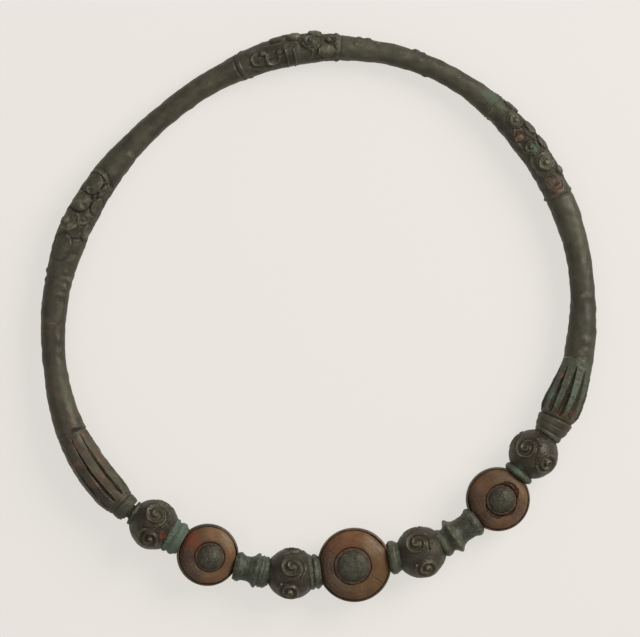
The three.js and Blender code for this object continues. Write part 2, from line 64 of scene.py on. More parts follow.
def paint(red: int, green: int, blue: int) -> Colour:
    """Turns a colour as it looks, 0 to 255, into the linear values that shaders take."""
    return tuple(((value / 255 + 0.055) / 1.055) ** 2.4 for value in (red, green, blue))


def ease(low: float, high: float, at: Array) -> Array:
    """Rises smoothly from 0 at low to 1 at high."""
    share = np.clip((at - low) / (high - low), 0.0, 1.0)
    return share * share * (3 - 2 * share)


def mound(distance: Array, reach: float) -> Array:
    """A soft mound of height 1 that ends at reach."""
    return np.clip(1 - (distance / reach) ** 2, 0.0, 1.0) ** 2


def cap(distance: Array, reach: float) -> Array:
    """A round cap of height 1 that ends at reach."""
    return np.sqrt(np.clip(1 - (distance / reach) ** 2, 0.0, 1.0))


def unit(vector: Array) -> Array:
    """The vector at length one."""
    return vector / np.linalg.norm(vector, axis=-1, keepdims=True)


def eased_table(rows: Rows, at: Array, column: int) -> Array:
    """Reads a table that rises smoothly from row to row and is level at each row.

    Args:
        rows: The table, by rising first column.
        at: The places asked for.
        column: The column to read.

    Returns:
        The value at each place.
    """
    keys = np.array([row[0] for row in rows])
    values = np.array([row[column] for row in rows])
    index = np.clip(np.searchsorted(keys, at, side="right") - 1, 0, len(keys) - 2)
    share = np.clip((at - keys[index]) / (keys[index + 1] - keys[index]), 0.0, 1.0)
    blend = 0.5 - 0.5 * np.cos(np.pi * share)
    return values[index] * (1 - blend) + values[index + 1] * blend


def read_table(rows: Rows, at: Array, column: int = 1) -> Array:
    """Reads a table that runs straight from row to row, as eased_table does."""
    return np.interp(at, [row[0] for row in rows], [row[column] for row in rows])


def rounded_table(rows: Rows, at: Array, column: int, step: float) -> Array:
    """Reads a straight table with its corners rounded."""
    steps = (-2, -1, 0, 1, 2)
    return sum(read_table(rows, at + step * n, column) for n in steps) / len(steps)


def around_loop(count: int, crowd: float = 0.0) -> Array:
    """Angles once round a section, closer together at its top."""
    turn = np.arange(count) * 2 * np.pi / count
    return turn - crowd * np.sin(turn)


@dataclass(frozen=True)
class Weathering:
    """The uneven skin that casting and corrosion leave, as a sum of random waves.

    Attributes:
        seed: Makes each skin its own, and the same each time.
        size: Length of the widest wave.
        depth: Its usual height.
        octaves: How many times the waves are halved.
    """

    seed: int
    size: float
    depth: float
    octaves: int = 4

    def lift(self, points: Array) -> Array:
        """How far the skin stands off the plain form.

        Args:
            points: Places in the torc's frame.

        Returns:
            The lift at each place.
        """
        random = np.random.default_rng(self.seed)
        total = np.zeros(points.shape[:-1])
        for octave in range(self.octaves):
            pitch = 2 * np.pi * 2**octave / self.size
            for _ in range(9):
                way = unit(random.normal(size=3)) * pitch * random.uniform(0.7, 1.4)
                total += np.sin(points @ way + random.uniform(0, 2 * np.pi)) / 1.6**octave
        return self.depth * total / 3


# ---------------------------------------------------------------- the ring's own line


@dataclass(frozen=True)
class CentreLine:
    """The ring's centre line: a circle pulled out of true, lying a little tipped.

    Attributes:
        radius: Its mean radius.
        waves: Cycles, height and crest angle of each wave on the radius.
        height: How high the line lies at the middle of the torc.
        slope_x: Its rise towards +X.
        slope_y: Its rise towards +Y.
    """

    radius: float = 68.39
    waves: Rows = ((1, 0.81, 85), (2, 2.06, 79.3), (3, 0.91, -115.5))
    height: float = 5.42
    slope_x: float = 0.0029
    slope_y: float = -0.0194

    def point(self, angle: Array | float, offset: Array | float = 0.0) -> Array:
        """A point of the line.

        Args:
            angle: Degrees along the ring.
            offset: How far outside the line.

        Returns:
            The points, one for each angle.
        """
        turn = np.radians(np.asarray(angle, dtype=float))
        reach = self.radius + offset
        for cycles, height, crest in self.waves:
            reach = reach + height * np.cos(cycles * turn - np.radians(crest))
        x, y = reach * np.cos(turn), reach * np.sin(turn)
        return np.stack([x, y, self.height + self.slope_x * x + self.slope_y * y], axis=-1)

    def outward(self, angle: Array | float) -> Array:
        """The level direction square to the line, away from the neck."""
        step = self.point(np.asarray(angle) + 0.5) - self.point(np.asarray(angle) - 0.5)
        return unit(np.cross(step, UP))


RING = CentreLine()


# ---------------------------------------------------------------- marks in the relief


MOAT_DEPTH, MOAT_PLACE, MOAT_WIDTH = 0.18, 0.25, 0.45
HIDDEN = 0.5  # how far below the field a boss stays outside its own edge


class Hand(Enum):
    """Which way a spiral turns as it winds in, seen from outside."""

    LEFT = -1
    RIGHT = 1


@dataclass(frozen=True)
class PlacedMark:
    """A mark with a middle.

    Attributes:
        along: Place along the ring.
        around: Place round the section, in degrees from the top.
    """

    along: float
    around: float

    def off(self, x: Array, y: Array, half: float) -> tuple[Array, Array]:
        """How far each point lies from the middle, along the ring and across."""
        return x - self.along, y - math.radians(self.around) * half


@dataclass(frozen=True)
class Dome(PlacedMark):
    """A round boss with a moat.

    Attributes:
        radius: Its radius.
        height: How far it stands above the field.
        stretch: How much longer it is along the ring than across.
    """

    radius: float
    height: float
    stretch: float = 1.0

    def carve(self, field_height: Array, x: Array, y: Array, half: float) -> Array:
        """Raises the boss in the field.

        Args:
            field_height: The field so far.
            x: Place along each point of it.
            y: Place across each point of it.
            half: Half the section's width.

        Returns:
            The field with the boss.
        """
        run, across = self.off(x, y, half)
        away = np.hypot(run / self.stretch, across)
        moat = MOAT_DEPTH * mound(away - self.radius - MOAT_PLACE, MOAT_WIDTH)
        boss = self.height * cap(away, self.radius) - HIDDEN * (away > self.radius)
        return np.maximum(field_height - moat, boss)


@dataclass(frozen=True)
class Blister(PlacedMark):
    """A small lump of corrosion.

    Attributes:
        radius: Its radius.
        height: Its height.
    """

    radius: float
    height: float

    def carve(self, field_height: Array, x: Array, y: Array, half: float) -> Array:
        """Raises the lump in the field, as Dome.carve raises a boss."""
        away = np.hypot(*self.off(x, y, half))
        return field_height + self.height * mound(away, self.radius * 1.4)


@dataclass(frozen=True)
class Pit(PlacedMark):
    """A hollow with a raised lip round part of it.

    Attributes:
        length: Its size along the ring.
        width: Its size across.
        depth: How deep it goes.
        lip: How high its lip stands.
        lip_side: Where the lip is highest, in degrees from the way along.
    """

    length: float
    width: float
    depth: float
    lip: float = 0.0
    lip_side: float = 0.0

    def carve(self, field_height: Array, x: Array, y: Array, half: float) -> Array:
        """Sinks the hollow in the field, as Dome.carve raises a boss."""
        run, across = self.off(x, y, half)
        away = np.hypot(run / (self.length / 2), across / (self.width / 2))
        side = 0.5 + 0.5 * np.cos(np.arctan2(across, run) - math.radians(self.lip_side))
        lip = self.lip * side * mound(away - 1.25, 0.35)
        return field_height - self.depth * mound(away, 1.05) + lip


@dataclass(frozen=True)
class Spiral(PlacedMark):
    """A line that winds in to a raised eye, on a low boss.

    Attributes:
        radius: Where it starts.
        turns: How often it winds.
        start: Where its outer end lies, in degrees from the way along.
        hand: Which way it winds.
        height: Height of the boss.
        line: Height of the line.
        width: Half the line's width.
    """

    radius: float
    turns: float
    start: float
    hand: Hand
    height: float = 0.35
    line: float = 0.42
    width: float = 0.42

    def carve(self, field_height: Array, x: Array, y: Array, half: float) -> Array:
        """Raises the spiral in the field, as Dome.carve raises a boss."""
        return self.wind(field_height, *self.off(x, y, half))

    def wind(self, field_height: Array, x: Array, y: Array) -> Array:
        """Raises the spiral about the chart's own middle.

        Args:
            field_height: The field so far.
            x: Place along each point of it, from the spiral's middle.
            y: Place across.

        Returns:
            The field with the spiral.
        """
        reach = np.hypot(x, y)
        turned = np.arctan2(y, x) - math.radians(self.start)
        turned = turned * self.hand.value / (2 * np.pi) % 1.0
        inner, outer, far = self.radius * 0.12, self.radius + 0.3, 9.0
        gap = np.full(reach.shape, far)
        for lap in range(int(self.turns) + 2):
            wound = turned + lap
            line_at = self.radius + (inner - self.radius) * wound / self.turns
            gap = np.minimum(gap, np.where(wound <= self.turns, np.abs(reach - line_at), far))
        boss = self.height * cap(reach, outer) - 0.4 * (reach > outer)
        raised = np.maximum(field_height, boss)
        inside = ease(self.radius + 0.5, self.radius, reach)
        raised = raised - 0.22 * inside + self.line * mound(gap, self.width * 1.25)
        return raised + 0.42 * cap(reach, self.radius * 0.22)


@dataclass(frozen=True)
class Stroke:
    """A raised or cut line through a few places, fine at both ends.

    Attributes:
        places: Places along the ring, each with degrees round the section.
        height: Height of the line, below 0 for a cut one.
        width: Half its width.
        blunt: How much of its size it keeps at its ends.
    """

    places: tuple[Point, ...]
    height: float
    width: float = 0.5
    blunt: float = 0.3

    def carve(self, field_height: Array, x: Array, y: Array, half: float) -> Array:
        """Draws the line in the field, as Dome.carve raises a boss."""
        return self.draw(field_height, x, y, [(a, math.radians(b) * half) for a, b in self.places])

    def draw(self, field_height: Array, x: Array, y: Array, knots: list[Point]) -> Array:
        """Draws the line through knots that are told in millimetres.

        Args:
            field_height: The field so far.
            x: Place along each point of it.
            y: Place across each point of it.
            knots: The places that the line goes through.

        Returns:
            The field with the line.
        """
        path = smooth_path(np.array(knots), 14)
        best = np.full(x.shape, 1e9)
        share = np.zeros(x.shape)
        for index, (start, end) in enumerate(zip(path[:-1], path[1:])):
            run = end - start
            part = ((x - start[0]) * run[0] + (y - start[1]) * run[1]) / (run @ run)
            part = np.clip(part, 0.0, 1.0)
            away = np.hypot(x - start[0] - part * run[0], y - start[1] - part * run[1])
            nearer = away < best
            best = np.where(nearer, away, best)
            share = np.where(nearer, (index + part) / (len(path) - 1), share)
        size = self.blunt + (1 - self.blunt) * np.sin(np.pi * share) ** 0.7
        return field_height + self.height * size * mound(best, self.width * (0.5 + 0.5 * size))


@dataclass(frozen=True)
class Band:
    """A line that runs right round the section, plain or beaded.

    Attributes:
        along: Place along the ring.
        bow: How far it bows along the ring on top.
        height: Height of the line, below 0 for a cut one.
        width: Half its width.
        beads: How many beads it is cut into, or 0.
    """

    along: float
    bow: float
    height: float
    width: float = 0.45
    beads: int = 0

    def carve(self, field_height: Array, x: Array, y: Array, half: float) -> Array:
        """Draws the band in the field, as Dome.carve raises a boss."""
        away = np.abs(x - self.along - self.bow * np.cos(y / half))
        size = 1.0
        if self.beads:
            size = 0.55 + 0.45 * np.cos(self.beads * y / half)
        return field_height + self.height * size * mound(away, self.width)


Mark = Dome | Blister | Pit | Spiral | Stroke | Band


def smooth_path(knots: Array, steps: int) -> Array:
    """A smooth line through knots.

    Args:
        knots: The places, one a row.
        steps: Steps between two of them.

    Returns:
        The line's points.
    """
    ends = np.vstack([2 * knots[0] - knots[1], knots, 2 * knots[-1] - knots[-2]])
    t = np.linspace(0, 1, steps, endpoint=False)[:, None]
    runs = []
    for a, b, c, d in zip(ends[:-3], ends[1:-2], ends[2:-1], ends[3:]):
        bend, twist = 2 * a - 5 * b + 4 * c - d, 3 * b - a - 3 * c + d
        runs.append(0.5 * (2 * b + (c - a) * t + bend * t**2 + twist * t**3))
    return np.vstack([*runs, knots[-1:]])


# ---------------------------------------------------------------- skins and meshes


@dataclass
class Skin:
    """A closed skin: loops of points one after another.

    Attributes:
        loops: The points, shaped (loops, points in a loop, 3).
        relief: How far each point stands above the plain form.
        verdigris: How green each point is, from 0 to 1.
        rust: How red each point is, from 0 to 1.
        ring: Whether the last loop joins the first, instead of both being shut.
    """

    loops: Array
    relief: Array
    verdigris: Array | float = 0.0
    rust: Array | float = 0.0
    ring: bool = False

    def vertices(self) -> Array:
        """The points of the skin, with one more in the middle of each shut end."""
        points = self.loops.reshape(-1, 3)
        if self.ring:
            return points
        return np.vstack([points, self.loops[0].mean(axis=0), self.loops[-1].mean(axis=0)])

    def faces(self) -> list[list[int]]:
        """Four-sided faces between the loops and a fan at each shut end, facing out.

        Returns:
            The corners of each face.
        """
        count, around = self.loops.shape[:2]
        here = np.arange(around)
        after = (here + 1) % around
        index = np.arange(count if self.ring else count - 1)[:, None]
        row, following = index * around, (index + 1) % count * around
        quads = np.stack([row + here, row + after, following + after, following + here], axis=-1)
        faces = quads.reshape(-1, 4).tolist()
        if not self.ring:
            first, last = count * around, count * around + 1
            tail = (count - 1) * around
            faces += [[first, int(b), int(a)] for a, b in zip(here, after)]
            faces += [[last, int(a), int(b)] for a, b in zip(here + tail, after + tail)]
        return faces if self.volume() > 0 else [face[::-1] for face in faces]

    def volume(self) -> float:
        """The space inside, below 0 if the loops run the wrong way."""
        a, c = self.loops[:-1], self.loops[1:]
        if self.ring:
            a, c = self.loops, np.roll(self.loops, -1, axis=0)
        b, d = np.roll(a, -1, axis=1), np.roll(c, -1, axis=1)
        total = np.einsum("ijk,ijk->", a, np.cross(b, d))
        total = total + np.einsum("ijk,ijk->", a, np.cross(d, c))
        if self.ring:
            return float(total)
        for loop, sign in ((self.loops[0], -1), (self.loops[-1], 1)):
            middle = np.broadcast_to(loop.mean(axis=0), loop.shape)
            total += sign * np.einsum("jk,jk->", middle, np.cross(loop, np.roll(loop, -1, axis=0)))
        return float(total)

    def spread(self, value: Array | float) -> Array:
        """A value for each point, in the order of vertices().

        Args:
            value: One value, or one for each point of the loops.

        Returns:
            The values, those at the two ends being the means of their loops.
        """
        full = np.broadcast_to(value, self.loops.shape[:2])
        if self.ring:
            return full.ravel()
        return np.concatenate([full.ravel(), [full[0].mean(), full[-1].mean()]])


class StainKind(Enum):
    """What a spot of corrosion is."""

    VERDIGRIS = "verdigris"
    RUST = "rust"


@dataclass(frozen=True)
class Stain:
    """A spot of corrosion on the upper side.

    Attributes:
        kind: What it is.
        x: Place across the torc.
        y: Place from front to back.
        radius: How far it spreads.
        strength: How strong it is in its middle.
        stretch: How much longer it is than wide.
        turn: Which way it is longer, in degrees from +X.
    """

    kind: StainKind
    x: float
    y: float
    radius: float
    strength: float = 1.0
    stretch: float = 1.0
    turn: float = 0.0

    def on(self, points: Array) -> Array:
        """How strongly it marks each point."""
        run = points[:, :2] - np.array([self.x, self.y])
        angle = math.radians(self.turn)
        long = run @ np.array([math.cos(angle), math.sin(angle)]) / self.stretch
        wide = run @ np.array([-math.sin(angle), math.cos(angle)])
        upper = ease(3.0, 5.5, points[:, 2])
        return self.strength * mound(np.hypot(long, wide), self.radius) * upper


def spots(kind: StainKind, *rows: tuple[float, ...]) -> tuple[Stain, ...]:
    """Stains of one kind, each told by what Stain holds after its kind."""
    return tuple(Stain(kind, *row) for row in rows)


@dataclass
class Piece:
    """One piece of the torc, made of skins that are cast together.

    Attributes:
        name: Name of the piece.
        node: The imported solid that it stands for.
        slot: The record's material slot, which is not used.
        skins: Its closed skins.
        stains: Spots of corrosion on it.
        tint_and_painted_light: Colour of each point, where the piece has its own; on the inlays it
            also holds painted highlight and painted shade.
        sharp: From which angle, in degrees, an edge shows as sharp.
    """

    name: str
    node: str
    slot: str
    skins: list[Skin]
    stains: tuple[Stain, ...] = ()
    tint_and_painted_light: Array | None = None
    sharp: float = 42.0

    def build(self, material: bpy.types.Material) -> bpy.types.Object:
        """Makes the mesh, dresses it and lets it ride on the torc's body.

        Args:
            material: The piece's finish.

        Returns:
            The piece.
        """
        vertices, faces, first = [], [], 0
        for skin in self.skins:
            points = skin.vertices()
            faces += shifted(skin.faces(), first)
            vertices.append(points)
            first += len(points)
        points = np.vstack(vertices)
        mesh = bpy.data.meshes.new(self.name)
        mesh.from_pydata((points * MM).tolist(), [], faces)
        self.colour_in(mesh, points)
        mesh.shade_smooth()
        mesh.set_sharp_from_angle(angle=math.radians(self.sharp))
        mesh.materials.append(material)
        mesh.update()
        piece = put(self.name, mesh)
        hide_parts(self.node)
        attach(piece, "root")
        LOG.info("%s: %d faces, stands for %s", self.name, len(mesh.polygons), self.node)
        return piece

    def colour_in(self, mesh: bpy.types.Mesh, points: Array) -> None:
        """Stores what the finish reads at each point.

        Args:
            mesh: The mesh to store it in.
            points: Its points in millimetres.
        """
        layers = {
            name: np.concatenate([skin.spread(getattr(skin, name)) for skin in self.skins])
            for name in ("relief", "verdigris", "rust")
        }
        for stain in self.stains:
            layers[stain.kind.value] = layers[stain.kind.value] + stain.on(points)
        for name, values in layers.items():
            kept = mesh.attributes.new(name, "FLOAT", "POINT").data
            kept.foreach_set("value", values.astype(np.float32))
        if self.tint_and_painted_light is not None:
            flat = np.column_stack([self.tint_and_painted_light, np.ones(len(self.tint_and_painted_light))]).astype(np.float32)
            kept = mesh.attributes.new("tint_and_painted_light", "FLOAT_COLOR", "POINT").data
            kept.foreach_set("color", flat.ravel())


def put(name: str, data: Any) -> bpy.types.Object:
    """Makes an object and puts it in the scene.

    Args:
        name: Its name.
        data: Its mesh, lamp or camera.

    Returns:
        The object.
    """
    made = bpy.data.objects.new(name, data)
    bpy.context.scene.collection.objects.link(made)
    return made


def shifted(faces: list[list[int]], first: int) -> list[list[int]]:
    """The faces with every corner counted on from first."""
    return [[corner + first for corner in face] for face in faces]


def turned_skin(start: Array, axis: Array, stations: Array, reach: Array, sides: int) -> Skin:
    """A skin of revolution.

    Args:
        start: Where its line starts.
        axis: The way of its line.
        stations: Distances along the line.
        reach: Radius at each distance, alike all round or one for each side.
        sides: Points in a loop.

    Returns:
        The skin.
    """
    side = unit(np.cross(axis, UP)) if abs(axis[2]) < 0.9 else np.array([1.0, 0.0, 0.0])
    top = unit(np.cross(side, axis))
    turn = around_loop(sides)
    full = reach[:, None] if reach.ndim == 1 else reach
    ring = np.sin(turn)[:, None] * side + np.cos(turn)[:, None] * top
    loops = start + stations[:, None, None] * axis + full[..., None] * ring
    return Skin(loops, np.zeros(loops.shape[:2]))


def above_ground(loops: Array) -> Array:
    """The points, worn level where the torc lies on the ground and at its very top."""
    worn = loops.copy()
    worn[..., 2] = np.clip(worn[..., 2], 0.0, HIGHEST)
    return worn


# ---------------------------------------------------------------- the hoop


FLUTE_BEND, FLUTE_ROUND = 0.84, 0.16  # shares of a hollow's length: before its round end, and in it


@dataclass(frozen=True)
class Fluting:
    """Long hollows cut side by side round a terminal.

    Attributes:
        count: How many would go right round.
        phase: Where one of them lies, in degrees from the top.
        start: Angle along the ring where they start, in a point.
        end: Angle where they end, round.
        depth: Their depth.
        spread: How much of the room between two ribs each takes.
        rib: How high the edges beside each hollow stand.
    """

    count: int
    phase: float
    start: float
    end: float
    depth: float
    spread: float
    rib: float

    def carve(self, angle: Array, around: Array, half: Array) -> tuple[Array, Array]:
        """Cuts the hollows.

        Args:
            angle: Degrees along the ring.
            around: Radians round the section.
            half: Half the section's width.

        Returns:
            The lift, and how deep in a hollow each point is, from 0 to 1.
        """
        run = np.clip((angle - self.start) / (self.end - self.start), 0.0, 1.0)
        round_end = np.sqrt(np.clip(1 - ((run - FLUTE_BEND) / FLUTE_ROUND) ** 2, 0, 1))
        opened = np.minimum(run**0.55, round_end ** (run > FLUTE_BEND))
        room = 2 * np.pi / self.count
        aside = (around - math.radians(self.phase) + room / 2) % room - room / 2
        away = np.abs(aside) * half
        reach = self.spread * room * half * opened / 2 + 1e-6
        there = opened > 0.02
        inside = np.where(there, mound(away, reach * 1.15) ** 0.7, 0.0)
        edge = np.where(there, mound(away - reach * 1.25, 0.38), 0.0)
        sunk = self.depth * inside * np.minimum(1.0, opened * 1.3)
        return self.rib * edge * opened - sunk, inside


@dataclass(frozen=True)
class Stretch:
    """A stretch of scroll relief on the hoop.

    Attributes:
        angle: Its middle along the ring.
        half: Half the section's width there.
        ends: Where its sunk field starts and ends, in mm from the middle.
        sink: How deep the field is sunk between the scrolls.
        marks: What stands in the field or is cut in it.
        fine: How many degrees to each side the loops lie close together.
        reach: How far the field goes at most, in mm.
    """

    angle: float
    half: float
    ends: Point
    sink: float
    marks: tuple[Mark, ...]
    fine: float = 13.6
    reach: float = 18.0

    def carve(self, angle: Array, around: Array) -> Array:
        """The relief's height over the plain rod.

        Args:
            angle: Degrees along the ring, one for each loop.
            around: Radians round the section, one for each point of a loop.

        Returns:
            The height at each point, shaped (loops, points in a loop).
        """
        height = np.zeros((len(angle), len(around)))
        run = np.radians(angle - self.angle) * RING.radius
        near = np.abs(run) < self.reach
        centred = (around + np.pi) % (2 * np.pi) - np.pi
        x, y = np.meshgrid(run[near], centred * self.half, indexing="ij")
        (first, last), fade = self.ends, 1.4
        inside = ease(first - fade, first + fade, x) * ease(last + fade, last - fade, x)
        upper = 0.35 + 0.65 * ease(-0.6, 0.2, np.cos(y / self.half))
        part = -self.sink * inside * upper
        for mark in self.marks:
            part = mark.carve(part, x, y, self.half)
        height[near] = part
        return height


TOP_SCROLLS = Stretch(
    angle=96,
    half=4.25,
    ends=(-10.9, 11.6),
    sink=0.26,
    marks=(
        Dome(-9.2, -17, 2.15, 0.5),
        Dome(-6.5, 77, 1.7, 0.6),
        Dome(-1.2, 60, 1.5, 0.6, 1.3),
        Dome(2.4, 66, 1.6, 0.3, 1.5),
        Pit(8.8, 0, 2.6, 3.0, 1.0, 0.55, -30),
        Pit(4.9, -12, 2.8, 3.2, 1.15, 0.6, -50),
        Dome(7.1, 14, 0.85, 0.35),
        Dome(3.0, 2, 0.8, 0.3),
        Spiral(-5.2, 27, 1.7, 1.3, 150, Hand.LEFT, 0.15, 0.4, 0.36),
        Dome(-9.8, 30, 0.75, 0.35),
        Stroke(((10.8, 34), (7.4, 44), (4.2, 34), (1.6, 40)), 0.55, 0.6),
        Stroke(((11.0, -34), (8.0, -52), (4.4, -60), (2.0, -52)), 0.45, 0.6),
        Stroke(((0.6, 27), (-2.0, 25)), 0.4, 0.34),
        Stroke(((0.6, 14), (-2.0, 14)), 0.35, 0.34),
        Stroke(((1.4, 4), (1.2, -50), (1.5, -85)), 0.5, 0.42, 0.6),
        Stroke(((-0.7, 2), (-0.9, -52), (-0.5, -88)), 0.5, 0.42, 0.6),
        Stroke(((-2.5, 32), (-3.5, 8), (-5.4, -12), (-5.2, -40)), 0.6, 0.45),
        Stroke(((-7.0, 6), (-7.2, -18), (-6.8, -42)), 0.45, 0.38),
        Band(-11.7, 0.0, 0.3, 0.6, 15),
        Band(-12.8, 0.0, -0.2, 0.4),
        Band(12.1, 1.7, 0.2, 0.55),
        Band(13.1, 1.7, -0.25, 0.4),
    ),
)

LEFT_SCROLLS = Stretch(
    angle=159,
    half=4.25,
    ends=(-13.0, 4.5),
    sink=0.12,
    marks=(
        Dome(-11.0, 25, 3.0, 0.3),
        Dome(-5.7, 30, 3.1, 0.42),
        Spiral(0.4, 38, 3.3, 1.1, 210, Hand.RIGHT, 0.5, 0.26, 0.5),
        Pit(-9.4, 14, 1.5, 1.7, 0.35, 0.25, 60),
        Pit(-5.0, 4, 1.6, 1.6, 0.35, 0.25, 100),
        Spiral(-1.9, -16, 1.6, 1.2, 20, Hand.LEFT, 0.1, 0.34, 0.36),
        Dome(-10.6, -38, 1.7, 0.22, 1.4),
        Dome(-6.4, -40, 1.8, 0.22, 1.3),
        Dome(1.4, -52, 1.6, 0.2, 1.4),
        Stroke(((-8.5, 66), (-8.2, 20), (-7.4, -14)), -0.4, 0.5),
        Stroke(((-3.1, 70), (-2.7, 24), (-3.4, -6)), -0.45, 0.5),
        Stroke(((-3.0, 22), (-1.6, 4), (0.2, -10), (2.2, -16)), 0.45, 0.5),
        Stroke(((-13.2, 80), (-14.4, 38), (-14.3, 0), (-12.9, -38), (-11.6, -80)), 0.3, 0.6, 0.7),
        Stroke(((-14.2, 80), (-15.5, 38), (-15.3, 0), (-13.9, -38), (-12.6, -80)), -0.3, 0.5, 0.7),
        Stroke(((4.3, 76), (4.8, 30), (4.2, -10), (3.2, -50)), -0.34, 0.55),
        Dome(7.2, 22, 2.6, 0.1, 1.3),
    ),
)

RIGHT_SCROLLS = Stretch(
    angle=39,
    half=3.9,
    ends=(-13.4, 12.0),
    sink=0.26,
    marks=(
        Dome(10.1, 76, 1.7, 0.3, 1.2),
        Spiral(7.1, 22, 2.0, 1.5, 90, Hand.RIGHT, 0.25, 0.42, 0.38),
        Spiral(-0.7, -2, 1.7, 1.3, 80, Hand.LEFT, 0.15, 0.45, 0.36),
        Spiral(-5.7, 15, 2.3, 1.5, 100, Hand.RIGHT, 0.3, 0.42, 0.4),
        Dome(3.4, 60, 1.5, 0.28, 1.3),
        Dome(-1.2, 64, 1.5, 0.28, 1.4),
        Dome(3.0, -14, 1.1, 0.3),
        Dome(-9.0, 58, 1.2, 0.35),
        Stroke(((4.9, 34), (2.8, 20), (0.6, 30), (-1.2, 22), (-3.2, 34)), 0.65, 0.55),
        Stroke(((5.8, -4), (4.2, -26), (1.4, -34), (-1.6, -30)), 0.4, 0.5),
        Stroke(((-2.6, -24), (-4.4, -38), (-7.4, -34), (-8.6, -20)), 0.4, 0.5),
        Stroke(((-8.4, 44), (-9.2, 10), (-8.6, -32)), 0.45, 0.45),
        Pit(-11.1, 10, 4.2, 4.4, 0.55, 0.35, 180),
        Band(12.4, 0.8, 0.24, 0.38),
        Band(13.3, 0.8, 0.18, 0.34),
        Band(14.1, 0.8, 0.14, 0.34),
        Band(-14.3, 0.0, 0.24, 0.5),
        Band(-15.2, 0.0, -0.2, 0.4),
    ),
)


def blistered(angle: float, half: float, fine: float, *rows: tuple[float, ...]) -> Stretch:
    """A plain stretch of the rod with lumps of corrosion on it."""
    return Stretch(angle, half, (-3.0, 3.0), 0.0, tuple(Blister(*row) for row in rows), fine)


BLISTERS = (
    blistered(
        79.5, 2.95, 3.6,
        (0.2, 70, 0.9, 0.4), (2.4, 84, 0.7, 0.25), (-2.2, 52, 0.7, 0.2), (3.2, 20, 0.6, 0.14),
    ),
    blistered(
        68.5, 2.75, 4.0,
        (1.4, 72, 1.0, 0.45), (-0.4, 80, 0.7, 0.3), (3.4, 60, 0.7, 0.2),
        (-2.6, -80, 0.8, 0.4), (-3.4, 66, 0.8, 0.2), (0.0, 10, 0.6, 0.12),
    ),
    blistered(
        172, 3.5, 3.6,
        (0.6, 78, 0.9, 0.35), (-1.6, 84, 0.7, 0.35), (-0.4, -56, 1.1, 0.3),
        (-2.2, -20, 0.8, 0.22), (1.8, -36, 0.8, 0.22), (-1.0, 22, 0.6, 0.14),
    ),
)


@dataclass(frozen=True)
class SteppedJoint:
    """The joint at the right: a line that steps across the ring.

    Attributes:
        angle: Where it lies along the ring.
        line: How far it leans towards the discs at each place across.
        fade: How far from the joint its steps still pull the loops.
    """

    angle: float = -9.0
    line: tuple[Point, ...] = (
        (-8, 1.4), (-3.5, 0.67), (-0.64, 0.22), (-0.36, -0.48), (4.14, 1.31), (8, 2.85),
    )
    fade: float = 6.0

    def lean(self, across: Array) -> Array:
        """How far the joint leans towards the discs at each place across."""
        return read_table(self.line, across)


JOINT = SteppedJoint()


